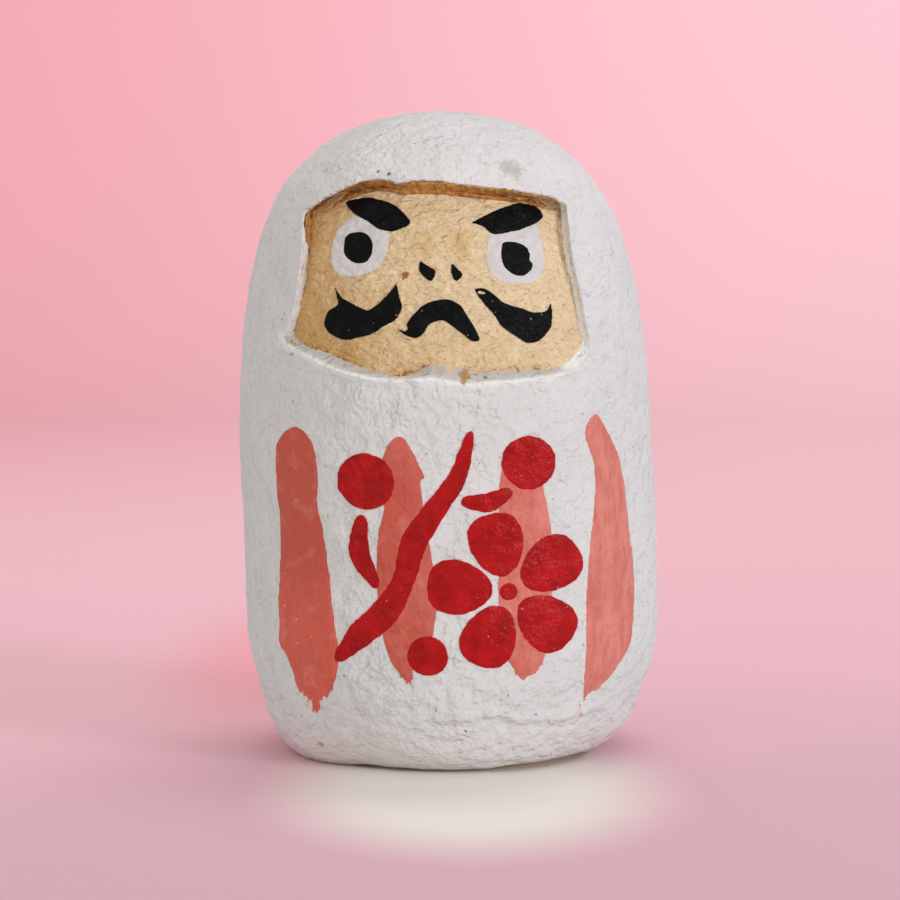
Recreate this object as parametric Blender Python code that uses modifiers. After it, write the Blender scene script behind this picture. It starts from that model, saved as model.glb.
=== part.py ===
"""Daruma doll: a moulded paper-pulp shell in two halves with a sunken face, under a white ground coat.

Units are metres, +Z is up, and the face looks towards -Y. The origin is at the middle of the base.
"""

import math

import bmesh
import bpy
from mathutils import Matrix, Vector

MM = 0.001

# Outside of the doll: a rounded heel under a long crown
HEIGHT = 100.0 * MM
BODY_RADIUS = 32.0 * MM
FOOT_RADIUS = 18.5 * MM
HEEL_HEIGHT = 23.0 * MM
CROWN_RISE = 4.8  # power of the height in the crown's superellipse
CROWN_ROUND = 2.25  # power of the radius

# Layers of the wall, from the outside in
COAT = 0.8 * MM
PULP = 2.2 * MM
STRIP = 0.3 * MM
FILM = 0.15 * MM
BOND = 0.1 * MM  # between layers that are stuck together
FIT = 0.3 * MM  # round a piece that seats in another

# The face and every painted mark are drawn, in millimetres across and up the front, on a doll of this
# size, and are stretched with the real one
DRAWN_HEIGHT = 100.0
DRAWN_RADIUS = 32.0

# Sunken face
FACE_DEPTH_LOW = 1.7 * MM
FACE_DEPTH_TOP = 3.4 * MM
FACE_LOW = 62.0  # height of the face's lower edge on the drawing
FACE_TOP = 90.0
FACE_OUTLINE = (
    (-19.5, 84.5), (-16.0, 88.0), (-11.0, 90.0), (-1.0, 90.0), (9.0, 89.0), (17.0, 87.2),
    (19.0, 85.5), (20.2, 79.0), (21.6, 71.0), (22.6, 65.0), (20.5, 62.6), (16.0, 61.2),
    (5.0, 60.6), (-6.0, 61.2), (-15.0, 61.8), (-22.0, 64.2), (-23.6, 66.5), (-22.6, 71.5),
    (-20.6, 80.0),
)

# Joint of the two halves
LIP_LENGTH = 3.0 * MM
LIP_ROOT = 2.5 * MM
LIP = 1.0 * MM
LIP_FOOT = 8.0 * MM
STRIP_WIDTH = 10.0 * MM
STRIP_FOOT = 2.5 * MM

# Base
BASE_PAPER = 0.8 * MM
FLANGE = 3.0 * MM
RIM = 1.5 * MM  # foot left round the seat of the base board
LEDGE = 2.5 * MM  # flange that the board rests against, round the mouth
SEAT_DEPTH = 1.6 * MM
COAT_EDGE = 1.2 * MM  # height where the coat stops above the base
GLUE_MARGIN = 2.0 * MM  # weight left bare round the glue
GLUE = 0.4 * MM
WEIGHT_HEIGHT = 9.0 * MM
WEIGHT_SIDE = 5.0 * MM

# Fineness
TURNS = 36
HEEL_ROWS = 5
CROWN_ROWS = 12

# Painted marks, as smooth closed outlines
BLACK_MARKS = {
    "left_eyebrow": (
        (-14.2, 86.3), (-12.6, 87.2), (-10.0, 87.2), (-7.0, 86.2), (-4.5, 83.8), (-6.5, 82.7),
        (-9.2, 82.9), (-11.6, 84.3),
    ),
    "right_eyebrow": (
        (4.9, 83.8), (7.5, 85.2), (10.5, 86.3), (13.5, 86.4), (15.3, 84.8), (13.8, 83.4),
        (11.0, 82.4), (7.8, 82.2),
    ),
    "left_nostril": ((-3.2, 78.2), (-2.0, 77.6), (-1.0, 76.7), (-1.6, 75.3), (-2.8, 76.4)),
    "right_nostril": ((1.5, 77.8), (2.5, 77.0), (3.0, 76.1), (2.1, 75.3), (1.4, 76.3)),
    "left_whisker": (
        (-16.2, 74.2), (-14.6, 72.2), (-11.6, 70.9), (-9.2, 72.0), (-6.7, 74.8), (-5.9, 71.6),
        (-8.0, 69.0), (-11.5, 67.1), (-14.8, 66.4), (-17.4, 68.3), (-16.6, 71.0),
    ),
    "right_whisker": (
        (5.1, 74.1), (8.2, 72.9), (10.5, 71.5), (13.8, 70.5), (16.3, 71.5), (16.4, 68.6),
        (14.6, 66.4), (12.0, 66.3), (9.2, 68.4), (7.0, 71.2),
    ),
    "mouth": (
        (-6.7, 68.1), (-5.2, 69.3), (-3.4, 71.3), (-0.5, 72.6), (2.6, 71.8), (4.4, 69.2),
        (5.4, 66.6), (3.4, 67.1), (0.6, 69.2), (-1.8, 68.9), (-3.6, 67.0), (-5.6, 67.3),
    ),
}
EYE_WHITES = {
    "left_eye_white": (
        (-12.5, 84.4), (-15.0, 83.0), (-16.4, 79.5), (-15.6, 76.4), (-13.0, 75.7),
        (-10.0, 76.8), (-8.1, 79.6), (-8.8, 82.4),
    ),
    "right_eye_white": (
        (7.8, 82.3), (6.9, 79.3), (7.7, 76.3), (10.2, 74.8), (13.2, 74.9), (15.2, 77.0),
        (15.3, 80.4), (14.0, 83.0), (10.8, 83.2),
    ),
}
PUPILS = {"left_pupil": (-12.4, 80.1, 2.2), "right_pupil": (11.2, 78.3, 2.25)}
STRIPES = {
    "stripe_far_left": (
        (-22.8, 53.0), (-25.2, 50.0), (-25.6, 44.0), (-25.3, 36.0), (-25.8, 24.0),
        (-24.6, 15.5), (-21.5, 9.6), (-18.4, 12.5), (-17.0, 19.0), (-18.0, 31.0),
        (-19.4, 42.0), (-20.2, 50.5),
    ),
    "stripe_left": (
        (-7.8, 52.2), (-9.7, 46.5), (-9.7, 41.0), (-10.8, 31.5), (-10.4, 23.5), (-7.5, 15.6),
        (-4.0, 18.5), (-2.0, 28.0), (-3.2, 38.0), (-4.2, 46.5),
    ),
    "stripe_right": (
        (10.5, 51.5), (8.0, 46.5), (7.4, 38.0), (7.2, 26.0), (8.6, 18.0), (11.2, 15.8),
        (13.8, 19.0), (15.0, 27.0), (15.2, 38.0), (13.6, 47.0),
    ),
    "stripe_far_right": (
        (22.5, 55.0), (20.8, 52.0), (22.0, 46.5), (21.6, 40.0), (20.5, 30.0), (20.2, 20.0),
        (19.6, 11.5), (22.8, 13.0), (26.4, 18.5), (27.9, 25.0), (27.6, 35.0), (26.2, 47.0),
        (24.6, 52.0),
    ),
}

# Plum-blossom spray: brush strokes as (across, up, width), round buds, and a blossom of petals
BRANCHES = {
    "plum_branch": (
        (-17.0, 18.5, 1.4), (-13.6, 22.4, 3.6), (-9.6, 26.2, 4.0), (-6.8, 31.0, 3.2),
        (-5.2, 36.5, 3.8), (-2.0, 41.5, 3.2), (1.6, 46.5, 2.6), (3.6, 52.6, 1.2),
    ),
    "left_twig": ((-11.0, 30.2, 1.4), (-13.2, 34.6, 3.0), (-12.8, 40.0, 1.6)),
    "right_twig": ((2.4, 42.8, 1.4), (6.0, 42.6, 2.8), (9.2, 44.2, 1.4)),
}
BUDS = {
    "left_bud": (-12.0, 45.6, 4.2),
    "right_bud": (12.2, 48.4, 4.0),
    "lower_bud": (-3.6, 19.6, 3.0),
}
BLOSSOM = (8.6, 29.2)
PETALS = 5
PETAL_INNER = 2.4
PETAL_OUTER = 12.0
PETAL_HALF_WIDTH = 4.1
PETAL_TILT = 12.0  # degrees that the whole blossom is turned by
STAMEN_RADIUS = 1.3

# Colours as linear RGB
CHALK_WHITE = (0.64, 0.60, 0.60)
TAN_PULP = (0.60, 0.42, 0.25)
GREY_CLAY = (0.26, 0.22, 0.18)
AMBER_GLUE = (0.45, 0.28, 0.10)
BROWN_BOARD = (0.42, 0.30, 0.18)
KRAFT_PAPER = (0.52, 0.38, 0.22)
WASHI = (0.72, 0.68, 0.60)
INK_BLACK = (0.006, 0.006, 0.007)
SHELL_WHITE = (0.70, 0.68, 0.66)
SALMON = (0.50, 0.11, 0.08)
RED = (0.36, 0.008, 0.008)


def clear_scene():
    for obj in list(bpy.data.objects):
        bpy.data.objects.remove(obj, do_unlink=True)


def new_collection(name, hidden=False):
    collection = bpy.data.collections.new(name)
    bpy.context.scene.collection.children.link(collection)
    collection.hide_render = hidden
    return collection


def paint(obj, name, colour, roughness):
    material = bpy.data.materials.get(name)
    if material is None:
        material = bpy.data.materials.new(name)
        material.use_nodes = True
        shader = material.node_tree.nodes["Principled BSDF"]
        shader.inputs["Base Color"].default_value = (*colour, 1.0)
        shader.inputs["Roughness"].default_value = roughness
        shader.inputs["Metallic"].default_value = 0.0
    obj.data.materials.append(material)


# Outlines


def profile(inset=0.0, foot=0.0):
    """Points (radius, height) from the top of the doll to the middle of its base.

    inset is the distance in from the outside, or a function that gives it from the height, and foot is
    the height of the flat base, so that each layer stands on what is under it.
    """
    depth = inset if callable(inset) else lambda height: inset
    crown = HEIGHT - HEEL_HEIGHT
    heel = BODY_RADIUS - FOOT_RADIUS
    rows = []
    for row in range(CROWN_ROWS + 1):
        angle = 0.5 * math.pi * (1.0 - (row / CROWN_ROWS) ** 1.5)
        radius = BODY_RADIUS * math.cos(angle) ** (2.0 / CROWN_ROUND)
        rise = math.sin(angle) ** (2.0 / CROWN_RISE)
        across = CROWN_ROUND * (radius / BODY_RADIUS) ** (CROWN_ROUND - 1.0) / BODY_RADIUS
        up = CROWN_RISE * rise ** (CROWN_RISE - 1.0) / crown
        rows.append((Vector((radius, HEEL_HEIGHT + crown * rise)), Vector((across, up))))
    for row in range(1, HEEL_ROWS + 1):
        angle = 0.5 * math.pi * row / HEEL_ROWS
        place = Vector((FOOT_RADIUS + heel * math.cos(angle), HEEL_HEIGHT * (1.0 - math.sin(angle))))
        rows.append((place, Vector((math.cos(angle) / heel, -math.sin(angle) / HEEL_HEIGHT))))
    points = [place - normal.normalized() * depth(place.y) for place, normal in rows]
    lowest = points[-1].y
    for point in points:
        if point.y < HEEL_HEIGHT:
            point.y = foot + (point.y - lowest) * (HEEL_HEIGHT - foot) / (HEEL_HEIGHT - lowest)
    points[0].x = 0.0
    return points + [Vector((0.0, foot))]


def face_depth(height):
    """How far the sunken face lies under the ground coat's outside."""
    drawn = height * DRAWN_HEIGHT / HEIGHT
    share = min(max((drawn - FACE_LOW) / (FACE_TOP - FACE_LOW), 0.0), 1.0)
    return COAT + BOND + FACE_DEPTH_LOW + (FACE_DEPTH_TOP - FACE_DEPTH_LOW) * share


def smooth_loop(points, steps=2):
    """A closed Catmull-Rom curve through the points, as plain points."""
    result = []
    count = len(points)
    for i in range(count):
        before, start, end, after = (Vector(points[(i + k) % count]) for k in (-1, 0, 1, 2))
        for step in range(steps):
            t = step / steps
            result.append(
                0.5 * (
                    2 * start + (end - before) * t
                    + (2 * before - 5 * start + 4 * end - after) * t * t
                    + (3 * start - before - 3 * end + after) * t * t * t
                )
            )
    return result


def brush_outline(spine):
    """The outline of a stroke from its middle line, given as (across, up, width)."""
    places = [Vector(p[:2]) for p in spine]
    left, right = [], []
    for i, place in enumerate(places):
        along = (places[min(i + 1, len(places) - 1)] - places[max(i - 1, 0)]).normalized()
        side = Vector((-along.y, along.x)) * spine[i][2] * 0.5
        left.append(place + side)
        right.append(place - side)
    return left + right[::-1]


def disc_outline(across, up, radius, corners=16):
    turn = 2.0 * math.pi / corners
    return [
        Vector((across + radius * math.cos(i * turn), up + radius * math.sin(i * turn)))
        for i in range(corners)
    ]


def petal_outline(number, steps=6):
    """One petal: it widens away from the blossom's middle and closes in a round end."""
    length = PETAL_OUTER - PETAL_INNER
    angle = math.radians(90.0 + PETAL_TILT) + number * 2.0 * math.pi / PETALS
    sides = {1: [], -1: []}
    for side, points in sides.items():
        for step in range(steps + 1):
            share = step / steps
            out = PETAL_INNER + length * (1.0 - math.cos(math.pi * share)) * 0.5
            half = PETAL_HALF_WIDTH * max(math.sin(math.pi * share ** 1.25), 0.0) ** 0.8
            points.append(Vector((out, side * half)))
    loop = sides[1] + sides[-1][-2:0:-1]
    turn = Matrix.Rotation(angle, 2)
    return [Vector(BLOSSOM) + turn @ point for point in loop]


def grown(points, distance):
    """A closed outline moved outwards by a distance; it works for either direction round."""
    count = len(points)
    area = sum(points[i - 1].cross(points[i]) for i in range(count))
    result = []
    for i, point in enumerate(points):
        along = (points[(i + 1) % count] - points[i - 1]).normalized()
        outwards = Vector((along.y, -along.x)) * (1.0 if area > 0 else -1.0)
        result.append(point + outwards * distance)
    return result


# Solids


def link(obj, collection):
    collection.objects.link(obj)
    if collection.hide_render:
        obj.hide_render = True
        obj.display_type = "WIRE"
    return obj


def turned(name, points, collection, closed=False):
    """A solid of revolution from a profile that runs down its outer side."""
    mesh = bpy.data.meshes.new(name)
    edges = [(i, i + 1) for i in range(len(points) - 1)]
    if closed:
        edges.append((len(points) - 1, 0))
    mesh.from_pydata([(p.x, 0.0, p.y) for p in points], edges, [])
    obj = link(bpy.data.objects.new(name, mesh), collection)
    screw = obj.modifiers.new("turn", "SCREW")
    screw.axis = "Z"
    screw.steps = TURNS
    screw.render_steps = TURNS
    screw.use_merge_vertices = True
    screw.merge_threshold = 0.00001
    screw.use_smooth_shade = True
    return obj


def cylinder(name, radius, low, high, collection):
    mesh = bpy.data.meshes.new(name)
    shape = bmesh.new()
    bmesh.ops.create_cone(
        shape, cap_ends=True, segments=TURNS, radius1=radius, radius2=radius, depth=high - low,
        matrix=Matrix.Translation((0.0, 0.0, 0.5 * (low + high))),
    )
    shape.to_mesh(mesh)
    shape.free()
    return link(bpy.data.objects.new(name, mesh), collection)


def block(name, low, high, collection):
    mesh = bpy.data.meshes.new(name)
    shape = bmesh.new()
    size = Vector(high) - Vector(low)
    middle = (Vector(high) + Vector(low)) * 0.5
    bmesh.ops.create_cube(shape, size=1.0, matrix=Matrix.Translation(middle) @ Matrix.Diagonal((*size, 1.0)))
    shape.to_mesh(mesh)
    shape.free()
    return link(bpy.data.objects.new(name, mesh), collection)


def prism(name, outline, collection):
    """A flat outline, in metres across and up, pushed through the front of the doll."""
    curve = bpy.data.curves.new(name, "CURVE")
    curve.dimensions = "2D"
    curve.fill_mode = "BOTH"
    curve.extrude = 0.5 * BODY_RADIUS
    spline = curve.splines.new("POLY")
    spline.points.add(len(outline) - 1)
    for point, place in zip(spline.points, outline):
        point.co = (place.x, place.y, 0.0, 1.0)
    spline.use_cyclic_u = True
    guide = link(bpy.data.objects.new(name, curve), collection)
    guide.rotation_euler = (0.5 * math.pi, 0.0, 0.0)
    guide.location = (0.0, -0.8 * BODY_RADIUS, 0.0)
    bpy.context.view_layer.update()
    mesh = bpy.data.meshes.new_from_object(guide.evaluated_get(bpy.context.evaluated_depsgraph_get()))
    place = guide.matrix_world.copy()
    bpy.data.objects.remove(guide, do_unlink=True)
    shape = bmesh.new()
    shape.from_mesh(mesh)
    bmesh.ops.remove_doubles(shape, verts=shape.verts, dist=0.000001)
    bmesh.ops.recalc_face_normals(shape, faces=shape.faces)
    shape.to_mesh(mesh)
    shape.free()
    obj = link(bpy.data.objects.new(name, mesh), collection)
    obj.matrix_world = place
    return obj


def boolean(obj, operation, other):
    modifier = obj.modifiers.new(operation.lower() + "_" + other.name, "BOOLEAN")
    modifier.operation = operation
    modifier.solver = "EXACT"
    modifier.object = other


def on_doll(points):
    """Points of the drawing, in metres on the doll."""
    across = BODY_RADIUS / DRAWN_RADIUS
    up = HEIGHT / DRAWN_HEIGHT
    return [Vector((p[0] * across, p[1] * up)) for p in points]


# Assembly

clear_scene()
doll = new_collection("daruma_doll")
cutters = new_collection("cutters", hidden=True)

reach = HEIGHT + BODY_RADIUS
pulp_foot = BASE_PAPER + BOND
seat_radius = FOOT_RADIUS - RIM
mouth_radius = seat_radius - LEDGE
face_loop = smooth_loop(on_doll(FACE_OUTLINE))


def face_pocket(name, outline, inset):
    """The space of the sunken face: the face outline in front of a floor that lies inset deeper."""
    pocket = prism(name, outline, cutters)
    floor = turned(name + "_floor", profile(lambda height: face_depth(height) + inset), cutters)
    boolean(pocket, "DIFFERENCE", floor)
    return pocket


def make_shell_halves():
    """Front and back halves of the pulp shell, with the lip of the back half inside the front one."""
    wall = COAT + BOND + PULP
    pocket = face_pocket("face_pocket", grown(face_loop, BOND), 0.0)
    inner_pocket = face_pocket("inner_face_pocket", grown(face_loop, BOND + PULP), PULP)
    core = turned("shell_core", profile(wall, pulp_foot + FLANGE), cutters)
    boolean(core, "DIFFERENCE", inner_pocket)
    mouth = cylinder("mouth_cutter", mouth_radius, -FLANGE, pulp_foot + 2.0 * FLANGE, cutters)
    seat = cylinder("seat_cutter", seat_radius, -FLANGE, pulp_foot + SEAT_DEPTH, cutters)
    front = block("front_side", (-reach, -reach, -reach), (reach, -0.5 * BOND, reach), cutters)
    back = block("back_side", (-reach, 0.5 * BOND, -reach), (reach, reach, reach), cutters)

    front_shell = turned("front_shell", profile(COAT + BOND, pulp_foot), doll)
    back_shell = turned("back_shell", profile(COAT + BOND, pulp_foot), doll)
    boolean(front_shell, "DIFFERENCE", pocket)
    for shell, side in ((front_shell, front), (back_shell, back)):
        boolean(shell, "DIFFERENCE", core)
        boolean(shell, "INTERSECT", side)
        boolean(shell, "DIFFERENCE", mouth)
        boolean(shell, "DIFFERENCE", seat)
        paint(shell, "tan_pulp", TAN_PULP, 0.9)

    lip_hollow = turned("lip_hollow", profile(wall + FIT + LIP, pulp_foot + FLANGE + LIP), cutters)
    lip_bands = (
        ("lip_band", wall + FIT, -LIP_LENGTH, LIP_ROOT),
        ("lip_root_band", wall - 0.5 * PULP, FIT, LIP_ROOT),
    )
    for name, inset, near, far in lip_bands:
        lip = turned(name, profile(inset, pulp_foot + FLANGE), cutters)
        slab = block(name + "_slab", (-reach, near, LIP_FOOT), (reach, far, reach), cutters)
        boolean(lip, "INTERSECT", slab)
        boolean(lip, "DIFFERENCE", lip_hollow)
        boolean(back_shell, "UNION", lip)


def make_seam_strip():
    """Paper strip over the joint, from just above the base on one side to the other."""
    half = 0.5 * STRIP_WIDTH
    slab = block("strip_slab", (-reach, -half, STRIP_FOOT), (reach, half, reach), cutters)
    under = turned("strip_under", profile(COAT, BASE_PAPER), cutters)
    strip = turned("seam_strip", profile(COAT - STRIP), doll)
    boolean(strip, "INTERSECT", slab)
    boolean(strip, "DIFFERENCE", under)
    paint(strip, "washi", WASHI, 0.9)


def make_ground_coat():
    """White coat over both halves and the strip, open at the face and at the base."""
    half = 0.5 * STRIP_WIDTH + FIT
    core = turned("coat_core", profile(COAT, BASE_PAPER), cutters)
    window = prism("face_window", face_loop, cutters)
    below = block("below_coat", (-reach, -reach, -reach), (reach, reach, COAT_EDGE), cutters)
    room_slab = block("strip_room_slab", (-reach, -half, STRIP_FOOT - FIT), (reach, half, reach), cutters)
    room = turned("strip_room", profile(COAT - STRIP - BOND), cutters)
    boolean(room, "INTERSECT", room_slab)
    coat = turned("ground_coat", profile(), doll)
    for cutter in (core, room, window, below):
        boolean(coat, "DIFFERENCE", cutter)
    paint(coat, "chalk_white", CHALK_WHITE, 0.8)


def make_base():
    """Board in its seat, cover paper under it, and the clay weight glued on the board."""
    paper = cylinder("base_paper", FOOT_RADIUS, 0.0, BASE_PAPER, doll)
    paint(paper, "kraft_paper", KRAFT_PAPER, 0.9)
    board_top = pulp_foot + SEAT_DEPTH - BOND
    board = cylinder("base_disc", seat_radius - FIT, pulp_foot, board_top, doll)
    paint(board, "brown_board", BROWN_BOARD, 0.9)
    radius = mouth_radius - FIT
    glue_low = board_top + BOND
    glue = cylinder("weight_glue", radius - GLUE_MARGIN, glue_low, glue_low + GLUE, doll)
    paint(glue, "amber_glue", AMBER_GLUE, 0.3)
    low = glue_low + GLUE + BOND
    dome = [
        Vector((
            radius * math.sin(0.1 * math.pi * i),
            low + WEIGHT_SIDE + (WEIGHT_HEIGHT - WEIGHT_SIDE) * math.cos(0.1 * math.pi * i),
        ))
        for i in range(6)
    ]
    weight = turned("clay_weight", dome + [Vector((radius, low)), Vector((0.0, low))], doll)
    paint(weight, "grey_clay", GREY_CLAY, 0.9)


def film_skin(name, under, layer):
    """The thin skin that paint of one layer lies in, over a surface that lies `under` deep."""
    low = BOND + layer * (FILM + BOND)
    outer = profile(lambda height: under(height) - low - FILM)
    inner = profile(lambda height: under(height) - low)
    outer, inner = outer[1:-2], inner[1:-2]
    return turned(name, outer + inner[::-1], cutters, closed=True)


def lay_marks(outlines, skin, finish, colour, roughness):
    """Painted marks of one colour: each outline cut out of the skin of its layer."""
    for name, outline in outlines.items():
        mark = prism(name, on_doll(outline), doll)
        boolean(mark, "INTERSECT", skin)
        paint(mark, finish, colour, roughness)


def smooth_loops(outlines):
    return {name: smooth_loop(outline) for name, outline in outlines.items()}


def make_face_paint():
    """Whites of the eyes, and over them the black brows, pupils, nostrils, whiskers and mouth."""
    white, black = (film_skin(f"face_skin_{layer}", face_depth, layer) for layer in (0, 1))
    pupils = {name: disc_outline(*pupil) for name, pupil in PUPILS.items()}
    lay_marks(smooth_loops(EYE_WHITES), white, "shell_white", SHELL_WHITE, 0.6)
    lay_marks(smooth_loops(BLACK_MARKS) | pupils, black, "ink_black", INK_BLACK, 0.35)


def make_body_paint():
    """Salmon stripes, and over them the red plum-blossom spray."""
    salmon, red = (film_skin(f"body_skin_{layer}", lambda height: 0.0, layer) for layer in (0, 1))
    spray = {name: smooth_loop(brush_outline(spine)) for name, spine in BRANCHES.items()}
    spray |= {name: disc_outline(*bud) for name, bud in BUDS.items()}
    spray |= {f"petal_{i + 1}": petal_outline(i) for i in range(PETALS)}
    spray["stamen_dot"] = disc_outline(*BLOSSOM, STAMEN_RADIUS, 10)
    lay_marks(smooth_loops(STRIPES), salmon, "salmon_paint", SALMON, 0.6)
    lay_marks(spray, red, "red_paint", RED, 0.35)


make_shell_halves()
make_seam_strip()
make_ground_coat()
make_base()
make_face_paint()
make_body_paint()
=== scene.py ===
"""Looks of a daruma doll: paper pulp under a chalky coat, a sunken bare face, and brushed paint.

Every shape is worked out on a smooth doll first, in millimetres on the drawing, and is then set on the
real one by its box. Skins are moved off that smooth body by the same height functions, so the paint,
the coat and the pulp under them fit each other.
"""

import itertools
import math

import bmesh
import bpy
import numpy as np
from bpy.props import FloatProperty, FloatVectorProperty, PointerProperty
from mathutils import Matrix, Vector, noise


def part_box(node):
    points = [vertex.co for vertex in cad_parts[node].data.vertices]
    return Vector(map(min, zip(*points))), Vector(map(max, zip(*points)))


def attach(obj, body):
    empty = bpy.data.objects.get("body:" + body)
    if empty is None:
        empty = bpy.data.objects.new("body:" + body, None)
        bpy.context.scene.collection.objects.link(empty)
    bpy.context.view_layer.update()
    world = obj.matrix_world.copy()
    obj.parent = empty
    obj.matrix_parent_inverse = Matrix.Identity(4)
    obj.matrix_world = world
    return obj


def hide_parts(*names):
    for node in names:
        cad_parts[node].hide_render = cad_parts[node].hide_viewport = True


bl_info = {
    "name": "Daruma Doll Looks",
    "version": (1, 0, 0),
    "blender": (4, 5, 0),
    "location": "View3D > Sidebar > Daruma",
    "description": "Builds the coat, the pulp face and the brushed paint of a daruma doll",
    "category": "Object",
}

MM = 0.001

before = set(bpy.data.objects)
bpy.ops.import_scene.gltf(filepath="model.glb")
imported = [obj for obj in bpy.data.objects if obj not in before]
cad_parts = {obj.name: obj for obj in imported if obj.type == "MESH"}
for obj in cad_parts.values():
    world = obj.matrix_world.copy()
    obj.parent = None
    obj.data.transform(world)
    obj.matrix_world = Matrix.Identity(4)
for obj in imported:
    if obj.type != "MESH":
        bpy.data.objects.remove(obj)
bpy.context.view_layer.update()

# The drawing: millimetres across the front (x), up (z) and back (y) on a doll of this size
TALL = 100.0
RADIUS = 32.0
HEEL = 23.0
RISE = 4.8
ROUND = 2.25
MIDDLE = np.array((0.0, 0.0, 50.0))

FRONT_LOW, FRONT_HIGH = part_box("ground_coat")
ACROSS = 0.5 * (FRONT_HIGH.x - FRONT_LOW.x) / (RADIUS * MM)
UP = FRONT_HIGH.z / (TALL * MM)
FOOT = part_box("base_paper")[1].x / (ACROSS * MM)
SHELL_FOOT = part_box("back_shell")[0].z / (UP * MM)
STRIP_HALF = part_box("seam_strip")[1].y / (ACROSS * MM)
STRIP_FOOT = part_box("seam_strip")[0].z / (UP * MM)

# How far each side of the hand-made doll stands from the drawing: (height, left side, right side)
SIDES = (
    (-4.0, -0.9, -0.9), (4.0, -0.1, -0.1), (14.0, 0.1, 0.6), (27.0, -0.2, 0.4), (40.0, -0.5, 0.0),
    (55.0, -0.9, -0.6), (70.0, -1.15, -1.15), (85.0, -1.45, -1.45), (104.0, -1.6, -1.6),
)

# Outlines on the front, as (across, up) points of a smooth loop; a third value marks a sharp corner.
# FLOOR_EDGE is the foot of the wall round the face, BRINK its top, and COAT_OPENING where the coat ends.
SHARP = 1
TORN_TOP = (
    (-20.6, 84.8), (-18.4, 86.6), (-15.6, 88.4), (-11.7, 90.0), (-8.6, 90.3), (-6.2, 89.8), (-4.3, 90.1),
    (-0.7, 90.1),
)
FLOOR_EDGE = (
    (-19.6, 84.6), (-18.2, 86.6), (-14.1, 88.2), (-9.3, 88.6), (-4.4, 87.9), (0.4, 87.9), (6.6, 87.6),
    (16.0, 86.9), (18.0, 86.0, SHARP), (18.8, 79.1), (20.0, 73.3), (20.6, 68.6), (21.0, 65.4),
    (18.8, 63.0, SHARP), (15.7, 61.9), (11.5, 62.3), (5.9, 62.0), (3.0, 62.6), (-1.9, 63.1),
    (-5.6, 61.5), (-11.3, 62.3), (-14.5, 63.3), (-17.1, 64.4), (-21.0, 65.5), (-22.6, 67.1),
    (-21.5, 70.8), (-20.6, 76.3), (-19.8, 81.0),
)
BRINK = (
    *TORN_TOP, (3.6, 89.6), (7.8, 89.0), (12.8, 88.2), (17.4, 86.9), (19.1, 86.2, SHARP),
    (19.6, 79.3), (20.8, 73.5), (21.5, 68.7), (22.1, 64.9), (20.0, 62.1), (16.0, 61.4),
    (12.8, 60.9), (7.3, 60.6), (3.0, 60.4), (-2.1, 61.2), (-7.2, 60.9), (-11.0, 61.2), (-15.0, 62.0),
    (-18.4, 63.2), (-21.8, 64.6), (-24.4, 66.0), (-23.6, 68.4), (-22.2, 71.6), (-21.4, 76.3),
    (-20.8, 80.5),
)
COAT_OPENING = (
    *TORN_TOP, (3.6, 89.7), (7.8, 89.2), (12.8, 88.5), (17.3, 87.3), (18.4, 86.2, SHARP),
    (18.7, 79.1), (19.9, 73.3), (20.5, 68.6), (20.9, 65.4), (18.8, 63.1, SHARP), (15.7, 61.9),
    (11.5, 62.2), (5.9, 61.9), (3.0, 62.4), (-1.9, 62.9), (-5.6, 61.3), (-11.3, 62.2), (-14.5, 63.2),
    (-17.1, 64.3), (-21.0, 65.4), (-22.5, 67.1), (-21.4, 70.8), (-20.5, 76.3), (-20.3, 80.0),
    (-20.7, 82.5),
)

# The sunken face: where it starts and how high and wide it is, and how much shallower it is at its sides
FACE_FOOT = 62.0
FACE_HEIGHT = 28.0
FACE_HALF_WIDTH = 21.0
FACE_SIDES = 0.45
FAR_OUTSIDE = -4.0  # what the fields of the outlines on the face read away from it

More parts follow.
